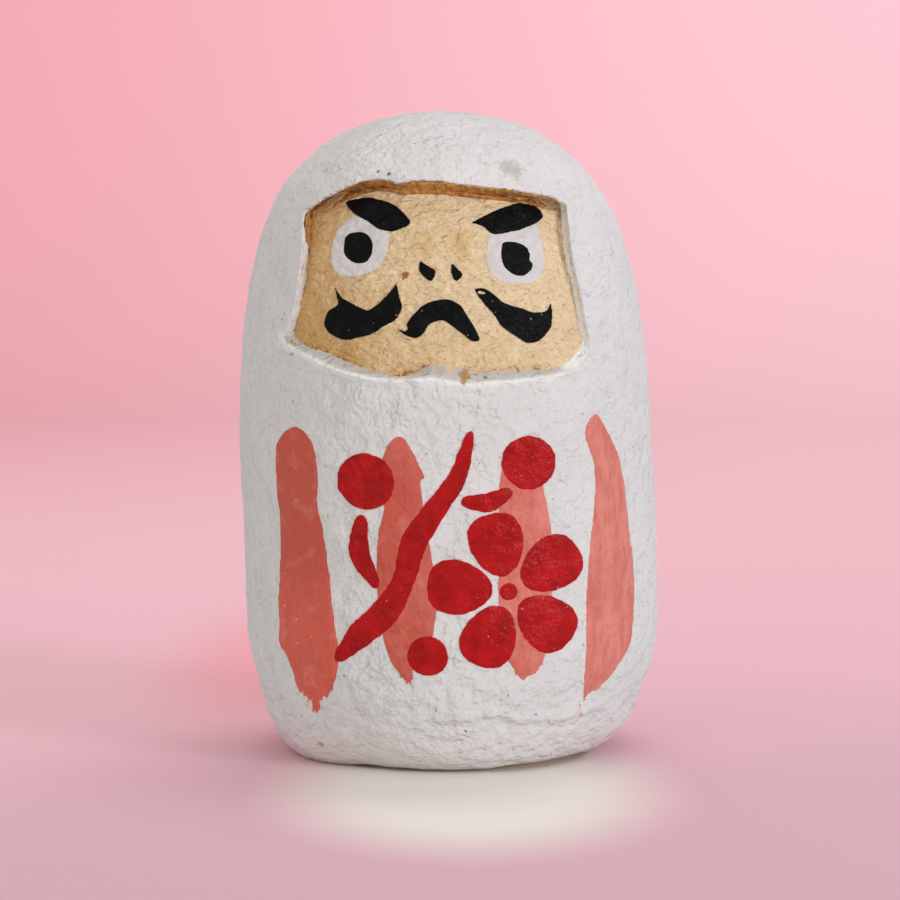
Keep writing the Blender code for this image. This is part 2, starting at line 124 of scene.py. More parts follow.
# Ridges and creases pressed into the coat: points of a line, height and half width
CREASES = (
    (((3.9, 58.9), (9.0, 58.9), (13.0, 59.6), (15.9, 60.8)), -0.30, 0.32),
    (((-24.6, 64.2), (-23.2, 57.8), (-21.8, 51.8)), -0.14, 0.5),
    (((-26.6, 68.2), (-25.0, 65.6), (-23.2, 63.8)), -0.28, 0.4),
    (((-5.4, 60.4), (-4.4, 58.5), (-3.6, 56.4)), -0.16, 0.3),
    (((-1.4, 60.0), (-0.4, 58.0), (0.4, 56.2)), -0.12, 0.3),
    (((-17.4, 54.8), (-14.8, 53.7), (-13.0, 52.0)), -0.20, 0.32),
    (((-9.2, 54.8), (-7.4, 53.0)), -0.14, 0.3),
    (((-16.4, 50.6), (-13.6, 48.6), (-12.6, 46.8)), -0.16, 0.4),
    (((-15.2, 45.6), (-12.8, 44.6)), 0.16, 0.5),
    (((-13.4, 42.4), (-11.4, 40.6)), -0.14, 0.35),
    (((-14.8, 38.0), (-12.2, 36.2)), -0.12, 0.4),
    (((2.4, 56.2), (5.2, 54.6)), -0.10, 0.3),
    (((16.8, 58.0), (20.0, 56.6)), -0.10, 0.4),
    (((20.8, 63.2), (22.6, 64.0), (24.8, 66.4)), -0.26, 0.35),
    (((19.6, 61.6), (22.0, 62.2), (24.6, 63.6)), 0.20, 0.5),
    (((1.0, 9.6), (6.0, 10.6), (11.0, 9.4), (17.0, 8.8), (23.5, 10.6)), 0.34, 0.5),
    (((0.0, 8.2), (6.0, 9.0), (11.0, 8.0), (17.0, 7.4), (23.0, 8.8)), -0.30, 0.5),
    (((-12.0, 13.4), (-8.0, 12.2), (-3.4, 12.8)), 0.22, 0.5),
    (((-14.0, 7.0), (-9.0, 5.6), (-3.0, 6.0)), -0.16, 0.6),
    (((3.4, 15.0), (7.6, 13.8), (12.6, 14.6)), 0.20, 0.5),
    (((-27.2, 34.0), (-26.8, 29.0), (-27.0, 24.0), (-25.6, 19.0)), 0.24, 0.6),
    (((-6.0, 96.0), (2.0, 96.6), (10.0, 95.4)), -0.12, 0.6),
    (((-22.0, 88.0), (-16.0, 92.6), (-9.0, 94.4)), 0.14, 0.7),
)

BLACK_MARKS = {
    "left_eyebrow": (
        (-14.2, 86.4), (-13.1, 87.0), (-10.6, 87.3), (-7.6, 86.6), (-5.8, 85.5), (-4.5, 83.8),
        (-5.8, 83.0), (-7.5, 82.5), (-9.4, 82.9), (-10.9, 83.9), (-12.8, 84.9),
    ),
    "right_eyebrow": (
        (4.7, 83.8, SHARP), (6.8, 84.8), (9.7, 86.0), (12.5, 86.5), (14.3, 86.0), (15.3, 84.8),
        (14.7, 83.8), (12.6, 82.9), (10.5, 82.4), (8.0, 82.1), (6.4, 83.2),
    ),
    "left_nostril": ((-3.1, 78.2, SHARP), (-2.0, 77.5), (-0.9, 76.7), (-1.6, 75.3), (-3.2, 76.7)),
    "right_nostril": ((1.6, 77.9, SHARP), (2.3, 77.2), (3.1, 76.2), (2.1, 75.3), (1.5, 76.6)),
    "left_whisker": (
        (-16.1, 74.4, SHARP), (-15.2, 72.8), (-14.0, 72.1), (-11.4, 70.9), (-9.9, 71.5), (-8.1, 73.1),
        (-6.7, 74.9, SHARP), (-6.4, 73.2), (-6.0, 71.5), (-6.9, 69.7), (-9.0, 68.4), (-10.6, 67.4),
        (-12.7, 66.8), (-14.6, 66.4), (-16.8, 67.2), (-17.6, 68.7), (-17.0, 70.5), (-16.2, 71.1),
        (-15.5, 71.7), (-15.7, 72.9),
    ),
    "right_whisker": (
        (5.1, 74.1), (6.5, 74.1), (8.3, 72.8), (9.3, 72.0), (11.8, 71.1), (13.6, 70.5), (15.4, 70.6),
        (16.3, 71.8, SHARP), (16.3, 68.8), (15.4, 67.2), (14.1, 66.2), (12.5, 66.1), (10.8, 67.1),
        (8.8, 68.6), (8.0, 69.9), (6.2, 72.1), (5.2, 73.4),
    ),
    "mouth": (
        (-6.7, 68.2, SHARP), (-5.6, 67.9), (-5.1, 68.3), (-5.2, 69.1), (-3.4, 71.2), (-1.7, 72.2),
        (0.7, 72.6), (2.6, 71.8), (3.8, 70.0), (4.7, 68.5), (5.4, 66.7), (4.3, 66.5), (2.5, 67.9),
        (0.6, 69.3), (-0.5, 69.5), (-2.0, 68.9), (-2.9, 67.6), (-3.9, 66.9), (-5.4, 67.3),
    ),
    "left_pupil": (
        (-14.5, 80.4), (-13.9, 81.7), (-12.6, 82.3), (-11.0, 82.0), (-10.2, 80.6), (-10.5, 78.8),
        (-11.6, 77.8), (-13.1, 77.9), (-14.3, 78.9),
    ),
    "right_pupil": (
        (9.1, 80.6, SHARP), (9.8, 80.9), (11.2, 80.8), (12.6, 80.1), (13.2, 79.0), (13.2, 78.1),
        (13.6, 77.4), (13.0, 76.4), (12.0, 75.9), (10.6, 76.2), (9.5, 77.1), (9.0, 78.6),
    ),
}
EYE_WHITES = {
    "left_eye_white": (
        (-12.5, 84.6), (-14.7, 83.3), (-16.1, 81.0), (-16.4, 78.9), (-16.1, 76.9), (-14.8, 75.9),
        (-13.0, 75.8), (-10.4, 76.6), (-8.6, 78.3), (-7.9, 80.3), (-8.1, 83.2), (-10.2, 84.2),
    ),
    "right_eye_white": (
        (7.7, 82.6), (6.9, 79.5), (7.3, 76.8), (9.0, 75.2), (11.8, 74.7), (14.3, 75.3), (15.4, 77.5),
        (15.2, 80.7), (14.2, 83.4), (10.8, 83.2),
    ),
}
STRIPES = {
    "stripe_far_left": (
        (-22.8, 53.0), (-25.3, 50.2), (-25.7, 44.5), (-25.3, 38.5), (-25.4, 32.2), (-25.8, 26.0),
        (-25.8, 19.8), (-24.4, 15.8), (-23.4, 12.5), (-22.4, 11.5), (-21.0, 9.6), (-19.7, 9.5),
        (-19.4, 11.4), (-18.0, 13.1), (-17.2, 16.9), (-17.0, 19.9), (-17.5, 25.1), (-18.0, 31.2),
        (-18.6, 37.2), (-19.4, 41.9), (-19.2, 46.0), (-20.2, 51.2),
    ),
    "stripe_left": (
        (-7.8, 52.0), (-9.2, 49.7), (-9.9, 45.8), (-9.4, 41.8), (-10.3, 37.7), (-10.8, 31.7),
        (-10.6, 25.7), (-9.9, 20.9), (-8.1, 16.5), (-6.1, 15.0), (-5.3, 17.7), (-4.1, 17.0),
        (-3.9, 20.6), (-3.0, 21.8), (-1.9, 27.9), (-2.1, 30.3), (-3.9, 44.8), (-3.4, 46.7), (-6.0, 51.9),
    ),
    "stripe_right": (
        (10.5, 51.5), (8.0, 46.5), (7.4, 38.0), (7.2, 26.0), (8.6, 18.0), (11.2, 15.8), (13.8, 19.0),
        (15.0, 27.0), (15.2, 38.0), (13.6, 47.0),
    ),
    "stripe_far_right": (
        (22.5, 55.0), (20.8, 52.4), (22.1, 47.0), (21.8, 40.9), (20.7, 32.9), (20.3, 24.8),
        (19.9, 16.5), (19.5, 10.7), (20.6, 11.8), (23.2, 13.9), (25.4, 16.8), (26.8, 19.5),
        (27.8, 24.3), (27.7, 31.7), (27.2, 36.8), (26.2, 46.9), (24.0, 52.9),
    ),
}
# Below these heights the stripes break into bristle marks, fully so after BRISTLES more
STRIPE_ENDS = {
    "stripe_far_left": 17.0, "stripe_left": 21.0, "stripe_right": 21.0, "stripe_far_right": 17.0,
}
BRISTLES = 7.0
# Gaps that the brush left in the black strokes: across, up and radius
DRY_SPOTS = ((5.75, 73.6, 0.40), (6.25, 73.5, 0.30), (-5.5, 68.6, 0.28), (13.2, 69.6, 0.2))

# Plum-blossom spray: strokes as (across, up, width), round buds, and a blossom of petals
BRANCHES = {
    "plum_branch": (
        (-17.0, 18.5, 1.4), (-13.6, 22.4, 3.6), (-9.6, 26.2, 4.0), (-6.8, 31.0, 3.2),
        (-5.2, 36.5, 3.8), (-2.0, 41.5, 3.2), (1.6, 46.5, 2.6), (3.6, 52.6, 1.2),
    ),
    "left_twig": ((-11.0, 30.2, 1.4), (-13.2, 34.6, 3.0), (-12.8, 40.0, 1.6)),
    "right_twig": ((2.4, 42.8, 1.4), (6.0, 42.6, 2.8), (9.2, 44.2, 1.4)),
}
BUDS = {
    "left_bud": (-12.0, 45.6, 4.2),
    "right_bud": (12.2, 48.4, 4.0),
    "lower_bud": (-3.6, 19.6, 3.0),
}
BLOSSOM = np.array((8.6, 29.2))
PETALS = 5
PETAL_INNER = 2.4
PETAL_OUTER = 12.0
PETAL_HALF_WIDTH = 4.1
PETAL_TILT = 12.0
STAMEN_RADIUS = 1.3

# Longest edges of the meshes: at the coat's opening, on its front, on its back and where it is cut away,
# then on the bare pulp, on the hidden pulp and on the strip, and in the face's and the body's paint
RIM_STEP, FRONT_STEP, BACK_STEP, CUT_STEP = 0.32, 0.95, 1.6, 4.0
BARE_STEP, HIDDEN_STEP, STRIP_STEP = 0.297, 3.0, 2.6
EYE_STEP, INK_STEP, BODY_STEP = 0.22, 0.2, 0.28

# Lifts that lay one film of paint over another, and how deep a film reaches into what it lies on
EYE_LIFT, STRIPE_LIFT, TOP_LIFT, PAINT_ROOT = 0.02, 0.03, 0.10, 0.06
MARGIN = 0.6  # round a mark's outline, for its waver

# Skin of the coat: how thin it gets at its edge, over what width, and its lift off the face's wall
THIN_COAT, THINNING, WALL_LIFT = 0.35, 1.3, 0.16
COAT_FOOT, LINING_FOOT = 0.15, 0.25  # least heights of the coat's outside and inside
STRIP_THICK = 0.3

# Stage in metres, but the floor's two patches are in millimetres: middle, stretch and tint
SHEET_HALF_WIDTH, SHEET_FRONT, BEND_START, BEND, WALL_TOP = 1.6, -1.4, 0.55, 0.35, 1.8
CORNER_TINT = (0.86, 0.40, 0.45)
GLOW_MIDDLE, GLOW_STRETCH, GLOW_TINT = (3.0, -22.0, 0.0), (1.0, 0.62, 1.0), (0.95, 0.93, 0.87)
SHADE_MIDDLE, SHADE_STRETCH, SHADE_TINT = (-31.0, 24.0, 0.0), (1.0, 0.3, 1.0), (0.93, 0.36, 0.40)
NEAR_FLOOR_RADIUS, NEAR_FLOOR_LIFT = 0.036, 0.00002
AIM_HEIGHT = 0.0472
SENSOR_WIDTH = 36.0


# Settings


class DollShape(bpy.types.PropertyGroup):
    coat: FloatProperty(
        name="Coat", description="Thickness of the white coat", default=0.8 * MM, unit="LENGTH",
    )
    pulp: FloatProperty(
        name="Pulp", description="Thickness of the pulp wall", default=2.2 * MM, unit="LENGTH",
    )
    face_low: FloatProperty(
        name="Face depth, low", description="How far the face lies under the coat at its lower edge",
        default=2.4 * MM, unit="LENGTH",
    )
    face_top: FloatProperty(
        name="Face depth, top", description="How far the face lies under the coat at its upper edge",
        default=3.8 * MM, unit="LENGTH",
    )
    paint: FloatProperty(
        name="Paint", description="Thickness of the paint", default=0.075 * MM, unit="LENGTH",
    )
    unevenness: FloatProperty(
        name="Unevenness", description="How lumpy the coat and the pulp are", default=1.0, min=0.0,
        max=3.0,
    )


class DollColours(bpy.types.PropertyGroup):
    chalk: FloatVectorProperty(
        name="Chalk coat", description="Colour of the ground coat",
        default=(0.745, 0.715, 0.722), size=3, subtype="COLOR",
    )
    pulp: FloatVectorProperty(
        name="Pulp", description="Colour of the bare face",
        default=(0.81, 0.58, 0.345), size=3, subtype="COLOR",
    )
    bare_edge: FloatVectorProperty(
        name="Bare edge", description="Colour of the broken edge over the face",
        default=(0.64, 0.29, 0.085), size=3, subtype="COLOR",
    )
    ink: FloatVectorProperty(
        name="Ink", description="Colour of the face's lines",
        default=(0.004, 0.004, 0.0045), size=3, subtype="COLOR",
    )
    shell_white: FloatVectorProperty(
        name="Shell white", description="Colour of the eyes",
        default=(0.69, 0.645, 0.645), size=3, subtype="COLOR",
    )
    salmon: FloatVectorProperty(
        name="Salmon", description="Colour of the stripes",
        default=(0.76, 0.245, 0.205), size=3, subtype="COLOR",
    )
    red: FloatVectorProperty(
        name="Red", description="Colour of the plum spray",
        default=(0.47, 0.008, 0.010), size=3, subtype="COLOR",
    )


class DollStage(bpy.types.PropertyGroup):
    backdrop: FloatVectorProperty(
        name="Backdrop", description="Colour of the backdrop",
        default=(0.93, 0.545, 0.62), size=3, subtype="COLOR",
    )
    floor: FloatVectorProperty(
        name="Floor", description="Colour of the floor round the doll",
        default=(0.80, 0.50, 0.575), size=3, subtype="COLOR",
    )
    camera_distance: FloatProperty(
        name="Camera distance", description="From the camera to the doll's middle", default=0.6,
        unit="LENGTH",
    )
    camera_pitch: FloatProperty(
        name="Camera pitch", description="How far the camera looks down", default=math.radians(6.0),
        subtype="ANGLE",
    )
    lens: FloatProperty(name="Lens", description="Focal length", default=153.2, unit="CAMERA")
    key: FloatProperty(
        name="Key light", description="Power of the main light", default=13.8, unit="POWER",
    )
    fill: FloatProperty(
        name="Fill light", description="Power of the low light at the left", default=5.6, unit="POWER",
    )
    wall: FloatProperty(
        name="Wall light", description="Power of the wall's light", default=3.3, unit="POWER",
    )
    sky: FloatProperty(name="Sky", description="Strength of the light from all round", default=0.57)


class DollLooks(bpy.types.PropertyGroup):
    shape: PointerProperty(type=DollShape)
    colours: PointerProperty(type=DollColours)
    stage: PointerProperty(type=DollStage)


def looks():
    return bpy.context.scene.doll_looks


# Smooth doll


def curve_through(knots, places):
    """Values of a smooth curve through (place, value, ...) knots."""
    knots = np.array(knots)
    slopes = np.gradient(knots[:, 1:], knots[:, 0], axis=0)
    row = np.clip(np.searchsorted(knots[:, 0], places) - 1, 0, len(knots) - 2)
    span = knots[row + 1, 0] - knots[row, 0]
    t = np.clip((places - knots[row, 0]) / span, 0.0, 1.0)[:, None]
    span = span[:, None]
    return (
        (2 * t ** 3 - 3 * t ** 2 + 1) * knots[row, 1:] + (t ** 3 - 2 * t ** 2 + t) * span * slopes[row]
        + (3 * t ** 2 - 2 * t ** 3) * knots[row + 1, 1:] + (t ** 3 - t ** 2) * span * slopes[row + 1]
    )


def radius_at(height):
    rise = np.clip(height - HEEL, 0.0, TALL - HEEL) / (TALL - HEEL)
    crown = RADIUS * (1.0 - rise ** RISE) ** (1.0 / ROUND)
    drop = np.clip(HEEL - height, 0.0, HEEL) / HEEL
    heel = FOOT + (RADIUS - FOOT) * np.sqrt(1.0 - drop ** 2)
    return np.where(height < HEEL, heel, crown)


def normals_at(points):
    """Outward directions of the smooth doll at points on it."""
    radius = np.hypot(points[:, 0], points[:, 1])
    height = points[:, 2]
    rise = np.clip(height - HEEL, 0.0, TALL - HEEL) / (TALL - HEEL)
    across = np.where(
        height < HEEL,
        np.clip(radius - FOOT, 0.0, None) / (RADIUS - FOOT) ** 2,
        ROUND * (radius / RADIUS) ** (ROUND - 1.0) / RADIUS,
    )
    up = np.where(
        height < HEEL, (height - HEEL) / HEEL ** 2, RISE * rise ** (RISE - 1.0) / (TALL - HEEL)
    )
    ahead = points[:, :2] / np.maximum(radius, 1e-9)[:, None] * across[:, None]
    normals = np.column_stack((ahead, up))
    return normals / np.linalg.norm(normals, axis=1)[:, None]


def on_body(points):
    """Points pushed out or in, along the line from the doll's middle, onto the smooth doll."""
    ways = points - MIDDLE
    ways /= np.linalg.norm(ways, axis=1)[:, None]
    near, far = np.zeros(len(points)), np.full(len(points), TALL)
    for _ in range(32):
        reach = 0.5 * (near + far)
        tried = MIDDLE + ways * reach[:, None]
        outside = (
            (np.hypot(tried[:, 0], tried[:, 1]) > radius_at(tried[:, 2]))
            | (tried[:, 2] < 0.0) | (tried[:, 2] > TALL)
        )
        near, far = np.where(outside, near, reach), np.where(outside, reach, far)
    return MIDDLE + ways * far[:, None]


def on_front(drawn):
    """Points of the drawing put on the front of the smooth doll."""
    radius = radius_at(drawn[:, 1])
    ahead = -np.sqrt(np.clip(radius ** 2 - drawn[:, 0] ** 2, 0.0, None))
    return np.column_stack((drawn[:, 0], ahead, drawn[:, 1]))


def on_real_doll(points):
    """Drawn points in metres on the real doll, with its uneven sides."""
    sides = curve_through(SIDES, points[:, 2])
    share = np.clip(0.5 + 0.5 * points[:, 0] / RADIUS, 0.0, 1.0)
    shift = sides[:, 0] * (1.0 - share) + sides[:, 1] * share
    return np.column_stack((
        (points[:, 0] + shift) * ACROSS * MM, points[:, 1] * ACROSS * MM, points[:, 2] * UP * MM,
    ))


# Outlines


def smooth_loop(points, steps=5):
    """A closed curve through the points, as an array; it turns sharply where a point says so."""
    places = np.array([point[:2] for point in points])
    sharp = np.array([len(point) > 2 for point in points])
    slopes = 0.5 * (np.roll(places, -1, axis=0) - np.roll(places, 1, axis=0))
    slopes[sharp] = 0.0
    t = (np.arange(steps) / steps)[None, :, None]
    start, end = places[:, None], np.roll(places, -1, axis=0)[:, None]
    leaving, arriving = slopes[:, None], np.roll(slopes, -1, axis=0)[:, None]
    curve = (
        (2 * t ** 3 - 3 * t ** 2 + 1) * start + (t ** 3 - 2 * t ** 2 + t) * leaving
        + (3 * t ** 2 - 2 * t ** 3) * end + (t ** 3 - t ** 2) * arriving
    )
    return curve.reshape(-1, 2)


def stroke_loop(spine):
    """The outline of a brush stroke from its middle line, given as (across, up, width)."""
    spine = np.array(spine)
    along = np.gradient(spine[:, :2], axis=0)
    along /= np.linalg.norm(along, axis=1)[:, None]
    side = np.column_stack((-along[:, 1], along[:, 0])) * spine[:, 2:] * 0.5
    outline = np.concatenate((spine[:, :2] + side, (spine[:, :2] - side)[::-1]))
    return smooth_loop(outline)


def round_loop(across, up, radius, corners=28):
    angles = np.linspace(0.0, 2.0 * math.pi, corners, endpoint=False)
    return np.column_stack((across + radius * np.cos(angles), up + radius * np.sin(angles)))


def petal_loop(number, steps=14):
    """One petal: it widens away from the blossom's middle and closes in a round end."""
    share = np.linspace(0.0, 1.0, steps + 1)
    out = PETAL_INNER + (PETAL_OUTER - PETAL_INNER) * 0.5 * (1.0 - np.cos(math.pi * share))
    half = PETAL_HALF_WIDTH * np.clip(np.sin(math.pi * share ** 1.25), 0.0, None) ** 0.8
    outline = np.concatenate((np.column_stack((out, half)), np.column_stack((out, -half))[-2:0:-1]))
    angle = math.radians(90.0 + PETAL_TILT + number * 360.0 / PETALS)
    turn = np.array(((math.cos(angle), math.sin(angle)), (-math.sin(angle), math.cos(angle))))
    return BLOSSOM + outline @ turn


def depth_inside(drawn, loop):
    """How far points of the drawing lie inside a closed outline; outside it the value is negative."""
    nearest = np.full(len(drawn), np.inf)
    inside = np.zeros(len(drawn), bool)
    for start, end in zip(loop, np.roll(loop, -1, axis=0)):
        edge = end - start
        away = drawn - start
        share = np.clip(away @ edge / max(edge @ edge, 1e-12), 0.0, 1.0)
        nearest = np.minimum(nearest, ((away - share[:, None] * edge) ** 2).sum(axis=1))
        if start[1] != end[1]:
            between = (start[1] > drawn[:, 1]) != (end[1] > drawn[:, 1])
            crossing = start[0] + edge[0] * (drawn[:, 1] - start[1]) / edge[1]
            inside ^= between & (drawn[:, 0] < crossing)
    return np.where(inside, 1.0, -1.0) * np.sqrt(nearest)


def unevenness(points, size, seed, octaves=2):
    """Smooth random values, about -1 to 1, whose lumps are about `size` across."""
    move = np.array((17.3, 5.1, 9.7)) * seed
    return np.array([
        noise.fractal(place, 1.0, 2.0, octaves, noise_basis="PERLIN_NEW")
        for place in (points / size + move).tolist()
    ])


def flakes(points, size, seed):
    """Random values, constant inside each small cell and 0 along the cells' edges."""
    move = np.array((3.7, 11.9, 7.3)) * seed
    values = []
    for place in (points / size + move).tolist():
        near, centres = noise.voronoi(place)
        rise = min(1.0, 2.5 * (near[1] - near[0]))
        values.append(rise * (0.4 + 0.6 * noise.cell(centres[0] * 3.1)))
    return np.array(values)


def ramp(value, low, high):
    """0 below low, 1 above high, and a smooth step between them."""
    share = np.clip((value - low) / (high - low), 0.0, 1.0)
    return share * share * (3.0 - 2.0 * share)


def bell(value, middle, width):
    return np.exp(-((value - middle) / width) ** 2)


# Skins of the doll


FLOOR_LOOP = smooth_loop(FLOOR_EDGE, 3)
BRINK_LOOP = smooth_loop(BRINK, 3)
OPENING_LOOP = smooth_loop(COAT_OPENING, 3)
ROUGH_OPENING = smooth_loop(COAT_OPENING, 1)
ROUGH_BRINK = smooth_loop(BRINK, 1)


def face_field(points, loop):
    """depth_inside for points on the doll, worked out only round the face."""
    x, y, z = points.T
    low, high = loop.min(axis=0) + FAR_OUTSIDE, loop.max(axis=0) - FAR_OUTSIDE
    near = (y < 0.0) & (x > low[0]) & (x < high[0]) & (z > low[1]) & (z < high[1])
    field = np.full(len(points), FAR_OUTSIDE)
    field[near] = depth_inside(points[near][:, [0, 2]], loop)
    return np.maximum(field, FAR_OUTSIDE)


def sinking(points):
    """How far down the wall of the face each point lies: 0 on the coat's level, 1 on the face.
    Also how far it lies inside the brink."""
    inside_brink = face_field(points, BRINK_LOOP)
    share = np.zeros(len(points))
    near = inside_brink > 0.0
    past_floor = np.clip(-face_field(points[near], FLOOR_LOOP), 0.0, None)
    share[near] = inside_brink[near] / np.maximum(past_floor + inside_brink[near], 1e-9)
    return 0.5 * (share + ramp(share, 0.0, 1.0)), inside_brink


def face_depth(points):
    """How far the face lies under the smooth doll, in millimetres."""
    shape = looks().shape
    share = np.clip((points[:, 2] - FACE_FOOT) / FACE_HEIGHT, 0.0, 1.0)
    sides = 1.0 - FACE_SIDES * np.clip(points[:, 0] / FACE_HALF_WIDTH, -1.0, 1.0) ** 2
    return (shape.face_low * (1.0 - share) + shape.face_top * share) / MM * sides


def sunk(points, share, lift):
    """Points of the smooth doll moved straight back to the face, which they reach at share 1."""
    step = 0.1
    slope = (radius_at(points[:, 2] + step) - radius_at(points[:, 2] - step)) / (2.0 * step)
    radius = radius_at(points[:, 2]) - (face_depth(points) - lift) * np.sqrt(1.0 + slope ** 2)
    floor = -np.sqrt(np.clip(radius ** 2 - points[:, 0] ** 2, 0.0, None))
    result = points.copy()
    result[:, 1] += np.where(share > 0.0, share * (floor - points[:, 1]), 0.0)
    return result


def pressed(points):
    """The height of the ridges and creases over points of the front."""
    height = np.zeros(len(points))
    front = points[:, 1] < 0.0
    drawn = points[front][:, [0, 2]]
    for line, rise, half_width in CREASES:
        nearest = np.full(len(drawn), np.inf)
        for start, end in itertools.pairwise(np.array(line)):
            edge = end - start
            share = np.clip((drawn - start) @ edge / (edge @ edge), 0.0, 1.0)
            away = np.linalg.norm(drawn - start - share[:, None] * edge, axis=1)
            nearest = np.minimum(nearest, away)
        height[front] += rise * bell(nearest, 0.0, half_width)
    return height


def coat_swell(points):
    """How far the coat's outside stands off the smooth doll."""
    x, y, z = points.T
    front = ramp(-y, -4.0, 10.0)
    broad = 0.34 * unevenness(points, 17.0, 1)
    lumps = 0.22 * unevenness(points, 5.5, 2)
    layered = points * np.array((0.6, 0.6, 1.15))
    ripple = 0.17 * unevenness(layered, 2.4, 3)
    low_down = ramp(24.0 - z, 0.0, 14.0)
    left_breast = bell(x, -14.0, 7.0) * bell(z, 47.0, 14.0)
    rough = 0.6 + 0.6 * low_down + 0.5 * left_breast
    folded = points * np.array((0.42, 0.42, 1.0)) + np.array((0.0, 0.0, 0.62)) * x[:, None]
    folds = 0.2 * unevenness(folded, 2.2, 4, 1) * bell(x, -14.0, 8.0) * bell(z, 49.0, 11.0) * front
    heel_low = 1.5 * ramp(-x - 0.35 * np.abs(y), 4.0, 19.0) * ramp(13.0 - z, 0.0, 11.0)
    heel_low += 0.8 * ramp(x - 0.35 * np.abs(y), 14.0, 24.0) * ramp(10.0 - z, 0.0, 6.0)
    calm = 0.35 + 0.65 * ramp(z, 1.0, 7.0)
    moved = points + 0.5 * unevenness(points, 1.7, 5)[:, None]
    relief = broad + (lumps + ripple) * rough + folds * front + pressed(moved)
    return looks().shape.unevenness * calm * relief + heel_low


def lip_swell(points, field):
    """The coat's rolled edge under and over the face; field is how far points lie inside its brink."""
    x, z = points[:, 0], points[:, 2]
    below = ramp(70.0 - z, 0.0, 6.0)
    below *= ramp(21.0 - x, 0.0, 5.0)
    roll = 0.62 * bell(field, -0.25, 0.38) * below * (0.75 + 0.5 * unevenness(points, 5.0, 7))
    hood = 0.10 * bell(field, -0.8, 0.9) * ramp(z, 84.0, 88.0)
    dent = -0.42 * bell(field, -1.5, 0.7) * below * (0.8 + 0.6 * unevenness(points, 7.0, 9))
    return roll + hood + dent


def coat_skins(points):
    """The coat's outside and inside over points of the smooth doll."""
    share, inside_brink = sinking(points)
    normals = normals_at(points)
    thick = THIN_COAT + (looks().shape.coat / MM - THIN_COAT) * ramp(-inside_brink, 0.0, THINNING)
    swell = (coat_swell(points) + lip_swell(points, inside_brink)) * (1.0 - 0.8 * share)
    wall = 0.12 * unevenness(points, 1.6, 8) * share
    outer = sunk(points, share, WALL_LIFT) + normals * (swell + wall)[:, None]
    inner = outer - normals * thick[:, None]
    outer[:, 2] = np.maximum(outer[:, 2], COAT_FOOT)
    inner[:, 2] = np.maximum(inner[:, 2], LINING_FOOT)
    return outer, inner


def pulp_grain(points):
    """The rough felt of paper pulp: short flakes over soft lumps."""
    slanted = points + np.array((0.45, 0.0, 0.0)) * points[:, 2:]
    stretched = slanted * np.array((0.62, 1.0, 1.25))
    moved = stretched + 0.5 * unevenness(points, 1.2, 15)[:, None]
    return (
        0.20 * unevenness(points, 3.2, 11) + 0.13 * unevenness(stretched, 1.1, 12)
        + 0.20 * flakes(moved, 1.25, 13)
    )


def pulp_skins(points):
    """The pulp's outside and inside over points of the smooth doll."""
    share, inside_brink = sinking(points)
    normals = normals_at(points)
    shape = looks().shape
    under = (0.4 + (shape.coat / MM - 0.3) * ramp(-inside_brink, 0.0, THINNING)) * (1.0 - share)
    bare = face_field(points, OPENING_LOOP) > -1.5
    grain = np.zeros(len(points))
    grain[bare] = pulp_grain(points[bare]) * shape.unevenness
    crumbly = 0.35 * np.abs(unevenness(points, 1.1, 14)) * bell(share, 0.5, 0.35)
    outer = sunk(points, share, 0.0) + normals * (grain + crumbly - under)[:, None]
    inner = outer - normals * shape.pulp / MM
    outer[:, 2] = np.maximum(outer[:, 2], SHELL_FOOT)
    inner[:, 2] = np.maximum(inner[:, 2], SHELL_FOOT)
    return outer, inner


# Meshes


def split_faces(faces, middles):
    """Faces cut at the new points on their edges; a middle of -1 leaves its edge whole."""
    cuts = (middles >= 0).sum(axis=1)
    turn = np.where(cuts == 1, (middles >= 0).argmax(axis=1), ((middles < 0).argmax(axis=1) + 1) % 3)
    order = (turn[:, None] + np.arange(3)) % 3
    a, b, c = np.take_along_axis(faces, order, axis=1).T
    ab, bc, ca = np.take_along_axis(middles, order, axis=1).T
    whole, one, two, three = (cuts == count for count in range(4))
    return np.concatenate((
        faces[whole],
        np.column_stack((a, ab, c))[one], np.column_stack((ab, b, c))[one],
        np.column_stack((ab, b, bc))[two], np.column_stack((a, ab, c))[two],
        np.column_stack((ab, bc, c))[two],
        np.column_stack((a, ab, ca))[three], np.column_stack((ab, b, bc))[three],
        np.column_stack((ca, bc, c))[three], np.column_stack((ab, bc, ca))[three],
    ))


def edges_of(faces):
    """Each edge once, as a pair of point numbers, and the number of each face's three edges."""
    ends = np.stack((faces, np.roll(faces, -1, axis=1)), axis=2).reshape(-1, 2)
    low, high = ends.min(axis=1), ends.max(axis=1)
    count = int(faces.max()) + 1
    keys, index = np.unique(low * count + high, return_inverse=True)
    return np.column_stack((keys // count, keys % count)), index.reshape(-1, 3)


def fine_body(wanted, rounds=9):
    """The smooth doll as a mesh whose edges are no longer than `wanted` allows where they lie."""
    ball = bmesh.new()
    bmesh.ops.create_icosphere(ball, subdivisions=4, radius=1.0)
    points = on_body(MIDDLE + np.array([vertex.co for vertex in ball.verts]))
    faces = np.array([[vertex.index for vertex in face.verts] for face in ball.faces])
    ball.free()
    for _ in range(rounds):
        edges, index = edges_of(faces)
        start, end = points[edges[:, 0]], points[edges[:, 1]]
        middle = 0.5 * (start + end)
        long = np.linalg.norm(end - start, axis=1) > wanted(middle)
        if not long.any():
            break
        number = np.full(len(edges), -1)
        number[long] = len(points) + np.arange(long.sum())
        points = np.concatenate((points, on_body(middle[long])))
        faces = split_faces(faces, number[index])
    return points, faces


